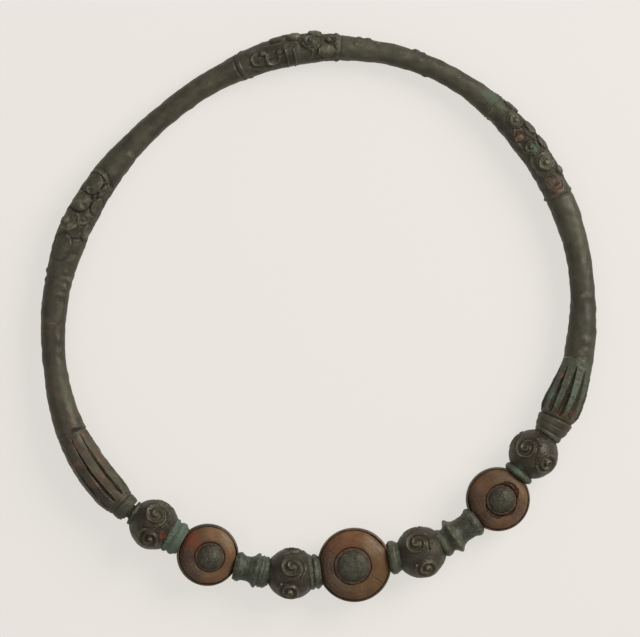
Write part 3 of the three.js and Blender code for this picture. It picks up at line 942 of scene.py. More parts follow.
@dataclass
class Hoop:
    """The open hoop with its three stretches of scrolls and its fluted terminal.

    Attributes:
        sections: Angle, width and offset of the rod.
        terminal: The same of the terminal.
        terminal_from: Angle where the terminal starts.
        lines: Angle and height of the lines cut round it beside the bead.
        fluting: Its hollows.
        flatness: The section's height over its width.
        columns: Points in a loop.
        crowd: How much closer the points are at the top.
        skin_seed: Makes the rod's uneven skin its own.
        socket_radius: Radius of the socket for the segment's tenon.
        socket_depth: Its depth.
        stretches: The stretches of relief and corrosion.
        stains: Spots of corrosion.
    """

    sections: Rows = (
        (-16, 8.2, 0.3), (-9, 7.8, 0.3), (8, 6.35, 0.3), (38, 7.8, -0.05), (63, 5.35, 0.0),
        (76, 5.7, -0.2), (97, 8.5, 0.35), (116, 6.0, -0.15), (126, 5.75, -0.4), (161, 8.5, 0.1),
        (174, 6.9, -0.15), (190, 6.1, -0.35), (208, 7.9, 0.36),
    )
    terminal: Rows = (
        (204.8, 7.7, 0.3), (207, 8.2, 0.3), (210.5, 8.8, 0.33), (218.5, 9.1, 0.38),
        (221.4, 8.8, 0.4), (223.0, 7.9, 0.41), (223.9, 7.0, 0.41), (224.3, 7.25, 0.42),
        (225.0, 7.25, 0.42), (225.8, 6.3, 0.42),
    )
    terminal_from: float = 205.4
    lines: tuple[Point, ...] = ((222.9, -0.16), (223.6, -0.22), (224.65, -0.14))
    fluting: Fluting = Fluting(9, 8.0, 206.0, 222.4, 0.7, 0.34, 0.1)
    flatness: float = 0.96
    columns: int = 98
    crowd: float = 0.3
    skin_seed: int = 11
    socket_radius: float = 2.15
    socket_depth: float = 3.4
    stretches: tuple[Stretch, ...] = (TOP_SCROLLS, LEFT_SCROLLS, RIGHT_SCROLLS, *BLISTERS)
    stains: tuple[Stain, ...] = (
        *spots(
            StainKind.VERDIGRIS,
            (44.6, 57.0, 2.6, 1.0, 1.7, 140), (56.0, 43.5, 2.3, 0.9),
            (20.0, 69.5, 3.0, 0.35, 2.5, 165), (-2.6, 73.2, 2.4, 0.5), (-67.2, 27.5, 2.6, 0.6),
            (-72.0, 14.0, 1.9, 0.5),
        ),
        *spots(
            StainKind.RUST,
            (61.4, 34.4, 3.9, 0.85, 1.3, 115), (51.8, 47.6, 3.3, 0.62, 1.5, 135),
            (-70.5, 20.0, 1.6, 0.35), (-57.0, -38.0, 17.0, 0.42, 1.3, 125),
            (-67.0, -10.0, 17.0, 0.3, 1.5, 100), (1.2, 71.0, 1.5, 0.4),
        ),
    )

    def stations(self) -> Array:
        """Angles of the loops, close together where there is relief.

        Returns:
            The angles, from the stepped joint to the tenon's socket.
        """
        angle, found = JOINT.angle, []
        last = self.terminal[-1][0]
        while angle < last:
            found.append(angle)
            near = any(abs(angle - stretch.angle) < stretch.fine for stretch in self.stretches)
            step = 0.16 if near else 0.62
            if angle > self.terminal_from - 1.5:
                step = 0.2
            elif angle < JOINT.angle + 5:
                step = 0.3
            angle += step
        return np.array([*found, last])

    def build(self, finish: bpy.types.Material) -> bpy.types.Object:
        """Makes the hoop.

        Args:
            finish: Its material.

        Returns:
            The piece.
        """
        angle = self.stations()
        around = around_loop(self.columns, self.crowd)
        rod = angle < self.terminal_from
        plain = [eased_table(self.sections, angle, column) for column in (1, 2)]
        ending = [rounded_table(self.terminal, angle, column, 0.12) for column in (1, 2)]
        half = np.where(rod, plain[0], ending[0]) / 2
        offset = np.where(rod, plain[1], ending[1])
        height = sum(stretch.carve(angle, around) for stretch in self.stretches)
        fluted, _ = self.fluting.carve(angle[:, None], around[None, :], half[:, None])
        height = height + fluted + self.terminal_lines(angle, around)
        loops = section_loops(angle, around, half, offset, height, self.flatness, 1.0, 0.0)
        carved = np.clip(np.abs(height) * 2.5, 0, 1)
        rough = Weathering(self.skin_seed, 8.0, 0.055, 2).lift(loops)
        rough = rough + 0.06 * Weathering(6, 3.4, 1.0, 2).lift(loops)
        rough = rough + carved * Weathering(5, 1.6, 0.06, 3).lift(loops)
        height = height + rough
        loops = section_loops(angle, around, half, offset, height, self.flatness, 1.0, 0.0)
        loops, height, carved = self.with_ends(loops, height, carved, offset)
        skin = Skin(above_ground(loops), height, 0.12 * carved)
        return Piece("hoop_casting", "hoop", "patinated_bronze", [skin], self.stains).build(finish)

    def terminal_lines(self, angle: Array, around: Array) -> Array:
        """The lines cut round the terminal, at its start and beside the bead.

        Args:
            angle: Degrees along the ring, one for each loop.
            around: Radians round the section, one for each point of a loop.

        Returns:
            The height at each point.
        """
        run = np.radians(angle - self.terminal_from)[:, None] * RING.radius
        bowed = run + 0.9 * np.cos(around)[None, :]
        inner = 0.4 + 0.6 * ease(0.3, -0.5, np.sin(around))[None, :]
        height = -0.32 * mound(bowed - 0.5, 0.42) * inner + 0.14 * mound(bowed + 0.3, 0.5) * inner
        return cut_round(height, angle, self.lines, 0.3)

    def with_ends(
        self, loops: Array, height: Array, carved: Array, offset: Array
    ) -> tuple[Array, Array, Array]:
        """Adds the loops that shut the hoop at the joint and line its socket.

        Args:
            loops: The hoop's loops.
            height: Its relief.
            carved: Where it is carved.
            offset: How far each section's middle stands outside the ring's line.

        Returns:
            The loops, the relief and the carved places, with the ends.
        """
        first = joint_face(loops[0], float(offset[0]), 0.0)
        end = loops[-1]
        middle = RING.point(self.terminal[-1][0], self.terminal[-1][2])
        away = unit(bead_centre(BEADS[0]) - middle)
        out = RING.outward(self.terminal[-1][0])
        out = unit(out - (out @ away) * away)
        top = unit(UP - (UP @ away) * away)
        turn = around_loop(self.columns, self.crowd)[:, None]
        mouth = self.socket_radius * (np.sin(turn) * out + np.cos(turn) * top)
        deep = self.socket_depth * away
        last = [middle + (end - middle) * 0.86, middle + mouth * 1.12, middle + mouth - 0.12 * away]
        last += [middle + mouth - deep, middle + mouth * 0.4 - deep]
        added = len(first) + len(last)
        quiet = np.zeros((added, loops.shape[1]))
        full = np.concatenate([first, loops, np.array(last)])
        height = np.concatenate([quiet[: len(first)] - 0.4, height, quiet[len(first):] - 0.4])
        carved = np.concatenate([quiet[: len(first)], carved, quiet[len(first):]])
        return full, height, carved


def cut_round(height: Array, angle: Array, lines: tuple[Point, ...], width: float) -> Array:
    """Cuts lines that run right round a terminal.

    Args:
        height: The relief so far.
        angle: Degrees along the ring, one for each loop.
        lines: Angle and height of each line.
        width: Half a line's width.

    Returns:
        The relief with the lines.
    """
    for place, depth in lines:
        height = height + depth * mound(np.radians(angle - place)[:, None] * RING.radius, width)
    return height


def section_loops(
    angle: Array, around: Array, half: Array, offset: Array, height: Array,
    flatness: float, side: float, gap: float,
) -> Array:
    """Places the points of a rod that ends at the stepped joint.

    Args:
        angle: Degrees along the ring, one for each loop.
        around: Radians round the section, one for each point of a loop.
        half: Half the section's width, one for each loop.
        offset: How far the section's middle stands outside the ring's line.
        height: The relief, one for each point.
        flatness: The section's height over its width.
        side: 1 where the rod runs up from the joint, -1 where it runs down from it.
        gap: How far it stays back from the joint.

    Returns:
        The points.
    """
    centre = RING.point(angle, offset)[:, None, :]
    outward = RING.outward(angle)[:, None, :]
    wide = (half[:, None] + height) * np.sin(around)[None, :]
    tall = (half[:, None] * flatness + height) * np.cos(around)[None, :]
    points = centre + wide[..., None] * outward + tall[..., None] * UP
    run = side * np.radians(angle - JOINT.angle)[:, None] * RING.radius
    lean = JOINT.lean(wide + offset[:, None]) + gap
    pull = lean * ease(JOINT.fade, 0.0, run)
    return points + pull[..., None] * np.cross(outward, UP)


def joint_face(end: Array, offset: float, gap: float) -> Array:
    """The loops that shut a rod at the stepped joint.

    Args:
        end: The rod's own last loop.
        offset: How far its middle stands outside the ring's line.
        gap: How far the rod stays back from the joint.

    Returns:
        The loops, from the innermost to the one next to the end.
    """
    outward = RING.outward(JOINT.angle)
    ahead = np.cross(outward, UP)
    middle = RING.point(JOINT.angle, offset)
    across = (end - middle) @ outward
    up = (end - middle) @ UP
    loops = []
    for share in (0.12, 0.3, 0.5, 0.7, 0.86, 0.97):
        lean = JOINT.lean(across * share + offset) + gap
        flat = middle + (across * share)[:, None] * outward + (up * share)[:, None] * UP
        loops.append(flat + lean[:, None] * ahead)
    return np.array(loops)


# ---------------------------------------------------------------- the front segment


@dataclass(frozen=True)
class BeadSpot:
    """Where a bead lies and how large it is.

    Attributes:
        angle: Where it lies along the ring.
        offset: How far its middle stands outside the ring's line.
        radius: Its radius.
        upper: Place along of its first spiral, and degrees from the top.
        lower: The same of its second.
    """

    angle: float
    offset: float
    radius: float
    upper: tuple[float, float] = (0.0, -27.0)
    lower: tuple[float, float] = (0.0, 38.0)


BEADS = (
    BeadSpot(231.7, -0.57, 6.5, (-0.5, -28.7), (0.9, 34.0)),
    BeadSpot(264.0, 0.52, 6.63, (0.2, -20.0), (-0.2, 43.0)),
    BeadSpot(293.4, 0.82, 6.65, (0.1, -26.9), (-0.26, 39.5)),
    BeadSpot(327.3, -0.85, 6.45, (0.2, -26.9), (0.15, 38.8)),
)


def bead_centre(bead: BeadSpot) -> Array:
    """The middle of a bead."""
    return RING.point(bead.angle, bead.offset)


@dataclass
class SpiralBead:
    """A bead with linked spirals right round it.

    Attributes:
        spot: Where it lies.
        forward: The way of the segment's line there.
        rows: Loops from pole to pole.
        columns: Points in a loop.
        crowd: How much closer the points are at the top.
        reach: Radius of a spiral.
        collar_green: How green it is at both ends.
    """

    spot: BeadSpot
    forward: Array
    rows: int = 80
    columns: int = 124
    crowd: float = 0.3
    reach: float = 2.95
    collar_green: float = 0.55

    def skin(self) -> Skin:
        """The bead's carved skin."""
        spot, forward = self.spot, self.forward
        outward = unit(np.cross(forward, UP))
        top = np.cross(outward, forward)
        polar = np.linspace(0.02, np.pi - 0.02, self.rows)[:, None, None]
        turn = around_loop(self.columns, self.crowd)[None, :, None]
        ring = np.sin(turn) * outward + np.cos(turn) * top
        way = np.cos(polar) * forward + np.sin(polar) * ring
        height = self.relief(way, outward, top)
        worn = ease(-0.1, 0.5, way @ top)
        height = height * (0.22 + 0.78 * worn) + 0.04 * (1 - worn)
        centre = bead_centre(spot)
        points = centre + (spot.radius + height)[..., None] * way
        height = height + Weathering(31 + int(spot.angle), 1.8, 0.02, 3).lift(points)
        height = height + Weathering(47 + int(spot.angle), 6.0, 0.03, 2).lift(points)
        points = centre + (spot.radius + height)[..., None] * way
        ends = ease(0.62, 0.9, np.abs(way @ forward))
        return Skin(above_ground(points), height - 0.12, self.collar_green * ends)

    def relief(self, way: Array, outward: Array, top: Array) -> Array:
        """The spirals' height over the plain ball.

        Args:
            way: Direction of each point from the middle.
            outward: The level direction away from the neck.
            top: The way up, square to the segment's line.

        Returns:
            The height at each point.
        """
        spot = self.spot
        height = np.full(way.shape[:2], -0.2)
        gap = (360 - (spot.lower[1] - spot.upper[1])) / 4
        places = [spot.upper, spot.lower] + [(0.0, spot.lower[1] + gap * n) for n in (1, 2, 3)]
        for index, (along, around) in enumerate(places):
            angle = math.radians(around)
            pole = math.sin(angle) * outward + math.cos(angle) * top
            pole = unit(pole + self.forward * along / spot.radius)
            side = unit(np.cross(self.forward, pole))
            front = np.cross(pole, side)
            apart = np.arccos(np.clip(way @ pole, -1, 1)) * spot.radius
            x, y = way @ front, way @ side
            level = np.hypot(x, y) + 1e-9
            x, y = x / level * apart, y / level * apart
            near = apart < self.reach + 4.6
            start = 45 if index % 2 == 0 else 225
            reach = self.reach * (1.24 if index == 0 else 1.04)
            spiral = Spiral(0, 0, reach, 2.0, start, Hand.LEFT, 0.05, 0.7, 0.42)
            height = spiral.wind(height, x, y)
            if index % 2 == 0:
                height = np.where(near, self.link(height, x, y), height)
        return height

    def link(self, height: Array, x: Array, y: Array) -> Array:
        """Draws the line that leads from one spiral to the next.

        Args:
            height: The relief so far.
            x: Place along the segment's line, from the first spiral's middle.
            y: Place across.

        Returns:
            The relief with the line.
        """
        edge = self.reach * 0.707
        room = math.radians(self.spot.lower[1] - self.spot.upper[1]) * self.spot.radius
        knots = [(edge, edge), (edge * 0.7, room * 0.42)]
        knots += [(-edge * 0.7, room * 0.58), (-edge, room - edge)]
        return Stroke((), 0.5, 0.42, 0.6).draw(height, x, y, knots)


@dataclass(frozen=True)
class Spool:
    """What stands between one bead or disc and the next: rings, necks and flanges.

    Attributes:
        outset: How far its line runs outside the two centres.
        profile: Distance from the first centre and radius, knot by knot.
        green: How green it is, from 0 to 1.
        knurl: Start, end and count of the nicks cut in one of its rings.
        facets: How many flat sides its flange has, or 0.
    """

    outset: float
    profile: tuple[Point, ...]
    green: float = 0.45
    knurl: tuple[float, float, int] | None = None
    facets: int = 0

    def skin(self, start: Array, end: Array, seed: int) -> Skin:
        """The spool's skin.

        Args:
            start: The first centre.
            end: The second centre.
            seed: Makes its uneven skin its own.

        Returns:
            The skin.
        """
        axis = unit(end - start)
        aside = unit(np.cross(axis, UP)) * self.outset
        first, last = self.profile[0][0], self.profile[-1][0]
        stations = np.linspace(first, last, 58)
        reach = rounded_table(self.profile, stations, 1, 0.08)
        sides = 64
        turn = around_loop(sides)
        full = np.repeat(reach[:, None], sides, axis=1)
        relief = np.repeat((reach - 3.9)[:, None] * 0.4, sides, axis=1)
        if self.knurl:
            low, high, count = self.knurl
            inside = ease(low - 0.1, low + 0.1, stations) * ease(high + 0.1, high - 0.1, stations)
            nick = np.cos(count * turn[None, :] + 2.5 * (stations[:, None] - low)) * inside[:, None]
            full = full + 0.14 * nick
            relief = relief + 0.35 * nick
        if self.facets:
            flat = np.cos(self.facets * turn)[None, :] * ease(3.4, 4.6, reach)[:, None]
            full = full + 0.22 * flat
        made = turned_skin(start + aside, axis, stations, full, sides)
        rough = Weathering(seed, 2.4, 0.035, 3).lift(made.loops)
        made = turned_skin(start + aside, axis, stations, full + rough, sides)
        return Skin(above_ground(made.loops), relief + rough, self.green)


@dataclass(frozen=True)
class TintAndLight:
    """A field of colour on an inlay. Some fields are its own colours; the others are painted light:
    painted highlight on the inlay's lit side and painted shade on its shaded side.

    Attributes:
        colour: The colour.
        angle: Where its middle lies, in degrees from +X.
        spread: How many degrees it reaches to each side.
        inner: Where it starts, as a share of the way from the hole to the rim.
        outer: Where it ends.
        strength: How strong it is.
    """

    colour: Colour
    angle: float
    spread: float
    inner: float = -0.3
    outer: float = 1.3
    strength: float = 0.85


def tints_and_lights(*rows: tuple[float, ...]) -> tuple[TintAndLight, ...]:
    """Fields of tint and painted light, each told by its red, green and blue and what TintAndLight
    holds after its colour.
    """
    return tuple(TintAndLight(paint(*row[:3]), *row[3:]) for row in rows)


@dataclass(frozen=True)
class Crack:
    """A crack in an inlay.

    Attributes:
        places: Places from the disc's middle that it runs through.
        depth: How deep it is.
        width: Half its width.
    """

    places: tuple[Point, ...]
    depth: float
    width: float


@dataclass(frozen=True)
class ErodedMargin:
    """A stretch of an inlay's inner edge that has broken away in flakes.

    Attributes:
        angle: Its middle, in degrees from +X.
        spread: How many degrees it reaches to each side.
        width: How far it reaches from the hole.
        depth: How deep it goes.
    """

    angle: float
    spread: float
    width: float
    depth: float


CUP_COLUMNS, STUD_COLUMNS, STUD_ROWS = 112, 96, 44
POLE = 0.8  # radius of the loops next to the middle of the cup's back and floor
CUP_ROUND = 2.4  # how far up the cup's lower edge is round
STUD_EDGE, STUD_STEP, STUD_CROWN = 3.05, 0.25, 4.62  # heights, for a disc of height 1
INLAY_CROWN = (
    (0.0, 2.95), (0.05, 3.08), (0.2, 3.2), (0.45, 3.16),
    (0.7, 2.86), (0.86, 2.42), (0.95, 2.05), (1.0, 1.72),
)  # share of the way from the hole to the rim, and the inlay's height there
FOOT = 0.12  # how far the inlay and the stud stand off the recess's floor


@dataclass
class InlaidDisc:
    """A disc: its bronze cup, the inlay in it and the stud that holds the inlay.

    Attributes:
        name: Which disc.
        angle: Where it lies along the ring.
        offset: How far its middle stands outside the ring's line.
        radius: Radius of the cup.
        height: How high it is, as a share.
        recess: Middle and radius of the recess, from the disc's middle.
        hole: Middle and radius of the inlay's hole.
        stud_radius: Radius of the stud.
        dome: The dome's share of the stud's radius; the rest is a low flange.
        flange_rust: How brown the flange is.
        peak: Where the stud is highest, from its middle.
        ground: Colour of the inlay.
        tints_and_painted_light: Other colours of the inlay, and fields of painted highlight and
            painted shade on it.
        cracks: Its cracks.
        margins: Where its inner edge has broken away.
        grooves: Depth of the fine turned grooves.
        open_edge: Angle, spread and width of the widest gap at the rim.
        back: Height of the cup's back.
        floor: Height of the recess's floor.
        rim_top: Height of the cup's rim, before height is reckoned in.
        gap: Room between the inlay and the cup.
    """

    name: str
    angle: float
    offset: float
    radius: float
    height: float
    recess: tuple[float, float, float]
    hole: tuple[float, float, float]
    stud_radius: float
    peak: Point
    ground: Colour
    tints_and_painted_light: tuple[TintAndLight, ...]
    dome: float = 0.84
    flange_rust: float = 1.0
    cracks: tuple[Crack, ...] = ()
    margins: tuple[ErodedMargin, ...] = ()
    grooves: float = 0.02
    open_edge: tuple[float, float, float] = (0.0, 30.0, 0.3)
    back: float = -3.35
    floor: float = 0.3
    rim_top: float = 2.0
    gap: float = 0.04

    def middle(self) -> Array:
        """The disc's middle."""
        return RING.point(self.angle, self.offset)

    def cup(self) -> Skin:
        """The bronze cup, from the middle of its back round the rim to its floor."""
        ring = level_ring(CUP_COLUMNS)
        top, (x, y, bore) = self.rim_top * self.height, self.recess
        outer = [(POLE, self.back), (self.radius * 0.5, self.back - 0.02)]
        for turned in np.linspace(0, 1.5, 12):
            rise = self.back + CUP_ROUND - CUP_ROUND * math.cos(turned)
            outer.append((self.radius - 1.75 + 1.7 * math.sin(turned), rise))
        outer += [(self.radius - 0.02, z) for z in np.linspace(-0.8, top - 0.45, 9)]
        outer += [(self.radius - 0.08, top - 0.2), (self.radius - 0.2, top - 0.06)]
        inner = [(bore + 0.1, top - 0.02), (bore + 0.02, top - 0.1), (bore, top - 0.4)]
        inner += [(bore, 1.0), (bore, self.floor), (bore * 0.6, self.floor), (POLE, self.floor)]
        shift = np.array([x, y, 0.0])
        loops = [ring * r + UP * z for r, z in outer]
        loops += [shift + ring * r + UP * z for r, z in inner]
        points = self.middle() + np.array(loops)
        worn = Weathering(61 + int(self.angle), 3.0, 0.03, 3).lift(points)
        points = points + worn[..., None] * UP * 0.6
        # The recess's walls and floor get a low relief that the finish darkens: painted shade in
        # the gap round the inlay.
        relief = np.concatenate([np.full(len(outer), 0.1), np.full(len(inner), -0.6)])
        at_rim = np.zeros(len(relief), dtype=bool)
        at_rim[len(outer) - 2:len(outer) + 1] = True
        relief[at_rim] = 0.12
        full = np.repeat(relief[:, None], CUP_COLUMNS, axis=1)
        brown = np.repeat(at_rim[:, None] * 0.36, CUP_COLUMNS, axis=1)
        return Skin(above_ground(points), full, 0.06, brown)

    def inlay(self) -> tuple[Skin, Array]:
        """The inlay ring.

        Returns:
            Its skin, and the colour of each point.
        """
        columns, rows = 300, 52
        turn = around_loop(columns)[None, :]
        share = np.linspace(0, 1, rows)[:, None]
        x, y, bore = self.recess
        way_open, spread, width = self.open_edge
        opened = width * sector(turn, way_open, spread)
        outer = bore - self.gap - opened + 0.03 * np.sin(9 * turn + self.angle) * np.cos(4 * turn)
        inner = self.hole[2] + 0.04 * np.sin(7 * turn + self.angle)
        way = np.stack([np.cos(turn), np.sin(turn)], axis=-1)
        rim = np.array([x, y]) + outer[..., None] * way
        edge = np.array(self.hole[:2]) + inner[..., None] * way
        flat = edge + (rim - edge) * share[..., None]
        depth, pale = self.damage(flat, share, turn)
        top = self.crown(share) + depth
        roll = 0.22 * (np.clip(0.08 - share, 0, 1) / 0.08) ** 2
        surface = np.concatenate([flat, (top - roll)[..., None]], axis=-1)
        foot = np.full((1, columns, 1), self.floor + FOOT)
        under_edge, under_rim = (np.concatenate([line, foot], axis=-1) for line in (edge, rim))
        walls = [under_edge * (1 - s) + surface[:1] * s for s in (0.0, 0.5, 0.9)]
        skirt = [surface[-1:] * (1 - s) + under_rim * s for s in (0.25, 0.6, 1.0)]
        loops = np.concatenate([*walls, surface, *skirt])
        rough = Weathering(71 + int(self.angle), 5.0, 0.03, 3).lift(loops)
        loops = self.middle() + loops + rough[..., None] * UP
        shares = np.concatenate([np.zeros(3), share[:, 0], np.ones(3)])[:, None]
        colour = self.colours(np.broadcast_to(shares, loops.shape[:2]), turn)
        worn = np.concatenate([pale[:1].repeat(3, axis=0), pale, pale[-1:].repeat(3, axis=0)])
        worn = worn[..., None]
        colour = colour * (1 - worn) + np.array(paint(146, 126, 88)) * worn
        # The wall loops at the hole and the skirt loops at the rim get a low relief, which the
        # finish darkens into painted shade on the inlay's sides in the gaps beside the stud and the
        # cup; cracks and broken margins come out darker with their depth.
        beside = np.ones((3, columns))
        low = np.concatenate([beside * -0.4, depth * 2.4, beside * -0.5])
        return Skin(loops, low, ring=True), colour

    def crown(self, share: Array) -> Array:
        """Height of the inlay from its hole (0) to its rim (1)."""
        return read_table(INLAY_CROWN, share) * self.height

    def damage(self, flat: Array, share: Array, turn: Array) -> tuple[Array, Array]:
        """Cracks, turned grooves and broken margins.

        Args:
            flat: Places from the disc's middle.
            share: Place from the hole (0) to the rim (1).
            turn: Radians round the inlay.

        Returns:
            The change in height, and how pale each point is.
        """
        x, y = flat[..., 0] - self.recess[0], flat[..., 1] - self.recess[1]
        reach = np.hypot(x, y)
        arc = 0.4 + 0.6 * np.cos(turn + 1.2) ** 2
        depth = -self.grooves * np.sin(reach * 17) ** 2 * arc * np.sin(np.pi * share) ** 0.5
        for crack in self.cracks:
            line = Stroke((), -crack.depth, crack.width, 0.5)
            depth = depth + line.draw(np.zeros(x.shape), x, y, list(crack.places))
        pale = np.zeros(x.shape)
        hole_x, hole_y, hole_radius = self.hole
        from_hole = np.hypot(flat[..., 0] - hole_x, flat[..., 1] - hole_y) - hole_radius
        random = np.random.default_rng(int(self.angle))
        waves = (5, 9, 14, 23, 31)
        ragged = sum(
            random.uniform(0.2, 0.5) * np.sin(n * turn + random.uniform(0, 6)) for n in waves
        ) / 2
        for margin in self.margins:
            inside = sector(turn, margin.angle, margin.spread) ** 0.5
            width = margin.width * inside * (1 + 0.35 * ragged) + 1e-6
            broken = ease(1.0, 0.82, from_hole / width) * (inside > 0.05)
            flakes = 0.75 + 0.25 * np.sin(from_hole * 9 + 5 * ragged)
            depth = depth - margin.depth * broken * flakes
            pale = np.maximum(pale, broken * (0.6 + 0.38 * np.sin(from_hole * 7 + 3 * ragged)))
        return depth, np.clip(pale, 0, 0.9)

    def colours(self, share: Array, turn: Array) -> Array:
        """The inlay's colours, with the painted highlight and painted shade that some of its fields
        hold.

        Args:
            share: Place from the hole (0) to the rim (1).
            turn: Radians round the inlay.

        Returns:
            A colour for each point.
        """
        colour = np.broadcast_to(np.array(self.ground), (*share.shape, 3)).copy()
        for tint_and_painted_light in self.tints_and_painted_light:
            weight = sector(turn, tint_and_painted_light.angle, tint_and_painted_light.spread) ** 0.7 * tint_and_painted_light.strength
            weight = weight * ease(tint_and_painted_light.inner - 0.15, tint_and_painted_light.inner + 0.15, share)
            weight = (weight * ease(tint_and_painted_light.outer + 0.15, tint_and_painted_light.outer - 0.15, share))[..., None]
            colour = colour * (1 - weight) + np.array(tint_and_painted_light.colour) * weight
        return colour

    def stud(self) -> Skin:
        """The domed stud, with its peak a little off its middle."""
        ring = level_ring(STUD_COLUMNS)
        share = np.linspace(1, 0.03, STUD_ROWS)
        radius, dome = self.stud_radius, self.dome
        foot, edge = self.floor + FOOT, STUD_EDGE * self.height
        crown, step = STUD_CROWN * self.height, STUD_STEP * self.height
        eye = np.array([*self.hole[:2], 0.0])
        lean = np.array([*self.peak, 0.0])
        loops = [ring * radius * 0.96 + UP * foot, ring * radius * 0.97 + UP * (edge - 0.5)]
        loops.append(ring * radius + UP * (edge - 0.12))
        for s in share:
            rise = edge + step * (1 - s) / (1 - dome) - 0.12 * mound(s - dome - 0.04, 0.06)
            if s < dome:
                rise = edge + step + (crown - edge - step) * (1 - (s / dome) ** 2.1) ** 0.8
            loops.append(lean * (1 - s) ** 1.2 + ring * radius * s + UP * rise)
        points = self.middle() + eye + np.array(loops)
        rough = Weathering(83 + int(self.angle), 1.4, 0.05, 3).lift(points)
        rough = rough + Weathering(7, 5.0, 0.05, 2).lift(points)
        points = points + rough[..., None] * UP
        flange = np.concatenate([np.ones(3), ease(dome - 0.02, dome + 0.03, share)])[:, None]
        return Skin(points, rough * 3 - 0.25 * flange, 0.0, self.flange_rust * flange)

    def build(self, inlay_finish: bpy.types.Material, stud_finish: bpy.types.Material) -> None:
        """Makes the inlay and the stud; the cup is cast with the segment.

        Args:
            inlay_finish: Material of the inlay.
            stud_finish: Material of the stud.
        """
        (skin, colour), name = self.inlay(), self.name
        tint_and_painted_light = colour.reshape(-1, 3)
        inlay = Piece(f"{name}_inlay_ring", f"{name}_inlay", "aged_inlay", [skin], tint_and_painted_light=tint_and_painted_light)
        inlay.build(inlay_finish)
        stud = Piece(f"{name}_stud_dome", f"{name}_stud", "stud_bronze", [self.stud()])
        stud.build(stud_finish)


def level_ring(count: int) -> Array:
    """Level directions once round, from +X."""
    turn = around_loop(count)
    return np.stack([np.cos(turn), np.sin(turn), np.zeros_like(turn)], axis=-1)


def sector(turn: Array, angle: float, spread: float) -> Array:
    """A soft mound over part of a circle.

    Args:
        turn: Radians round the circle.
        angle: Degrees where it is highest.
        spread: How many degrees it reaches to each side.

    Returns:
        The height at each place, from 0 to 1.
    """
    away = (np.degrees(turn) - angle + 180) % 360 - 180
    return mound(away, spread)


# ---------------------------------------------------------------- the spools and discs, one by one

SPOOLS = {
    "bead_one_to_left_disc": Spool(
        outset=0.2,
        profile=(
            (4.0, 3.6), (4.6, 4.35), (5.0, 4.55), (5.6, 4.5), (5.95, 4.1), (6.15, 4.05),
            (6.4, 4.35), (7.0, 4.5), (7.6, 4.4), (8.0, 4.0), (8.7, 3.6),
        ),
        green=1.0,
        knurl=(4.5, 5.8, 26),
    ),
    "left_disc_to_bead_two": Spool(
        outset=1.25,
        profile=(
            (7.4, 3.4), (8.3, 3.8), (8.9, 3.85), (9.3, 3.5), (10.2, 3.2), (11.2, 3.25), (12.1, 3.6),
            (12.8, 4.3), (13.2, 4.5), (13.5, 4.45), (13.75, 3.95), (14.0, 3.85), (14.3, 4.15),
            (14.6, 4.2), (14.85, 3.9), (15.2, 4.1), (15.8, 4.1), (16.3, 3.6), (16.9, 3.0),
        ),
        facets=7,
    ),
    "bead_two_to_centre_disc": Spool(
        outset=0.35,
        profile=(
            (4.0, 3.6), (4.4, 4.3), (4.8, 4.55), (5.3, 4.5), (5.6, 4.1), (5.8, 4.15), (6.1, 4.55),
            (6.7, 4.6), (7.1, 4.2), (7.7, 3.6),
        ),
        knurl=(4.4, 5.6, 24),
    ),
    "centre_disc_to_bead_three": Spool(
        outset=0.0,
        profile=(
            (9.0, 3.6), (9.4, 4.15), (9.7, 4.4), (10.7, 4.4), (11.1, 4.1), (11.5, 3.8), (12.2, 3.5),
        ),
    ),
    "bead_three_to_right_disc": Spool(
        outset=1.35,
        profile=(
            (5.0, 3.2), (5.5, 3.8), (6.1, 3.9), (6.8, 3.75), (7.2, 3.35), (7.7, 3.25), (8.3, 3.7),
            (8.9, 4.55), (9.3, 4.85), (9.6, 4.7), (10.2, 3.95), (11.0, 3.5), (12.0, 3.3),
            (13.2, 3.3), (14.2, 3.35), (14.8, 3.6), (15.2, 3.95), (15.9, 4.0), (16.5, 3.6),
            (17.1, 3.0),
        ),
        facets=7,
    ),
    "right_disc_to_bead_four": Spool(
        outset=0.1,
        profile=((7.6, 3.2), (7.9, 3.85), (8.4, 4.1), (9.1, 4.0), (9.5, 3.5), (10.4, 3.1)),
    ),
    "bead_four_to_terminal": Spool(
        outset=0.0,
        profile=(
            (4.6, 2.9), (5.2, 3.2), (5.7, 3.3), (6.05, 3.75), (6.9, 3.8), (7.3, 3.4), (7.9, 2.8),
        ),
    ),
}

LEFT_DISC = InlaidDisc(
    name="left",
    angle=245.1,
    offset=0.0,
    radius=8.05,
    height=1.0,
    recess=(0.15, -0.05, 7.5),
    hole=(0.62, -0.44, 3.84),
    stud_radius=3.75,
    peak=(0.1, 0.1),
    ground=paint(88, 70, 53),
    # Painted light among these fields: the pale ones at 45 degrees and along the rim at 40 degrees
    # are painted highlight on the lit upper right of the domed inlay, and the dark ones at 182 and
    # 226 degrees are painted shade on its left and lower left. The others are the inlay's own
    # colours.
    tints_and_painted_light=tints_and_lights(
        (136, 112, 84, 45, 42, 0.25), (118, 86, 58, 84, 34, 0.1), (112, 78, 48, 2, 34),
        (112, 54, 34, 138, 34), (52, 35, 28, 182, 44), (70, 55, 47, 226, 30),
        (100, 74, 48, 300, 60), (120, 100, 78, 40, 60, 0.86, 1.3, 0.6),
    ),
    grooves=0.03,
    open_edge=(-5.0, 48.0, 0.28),
)

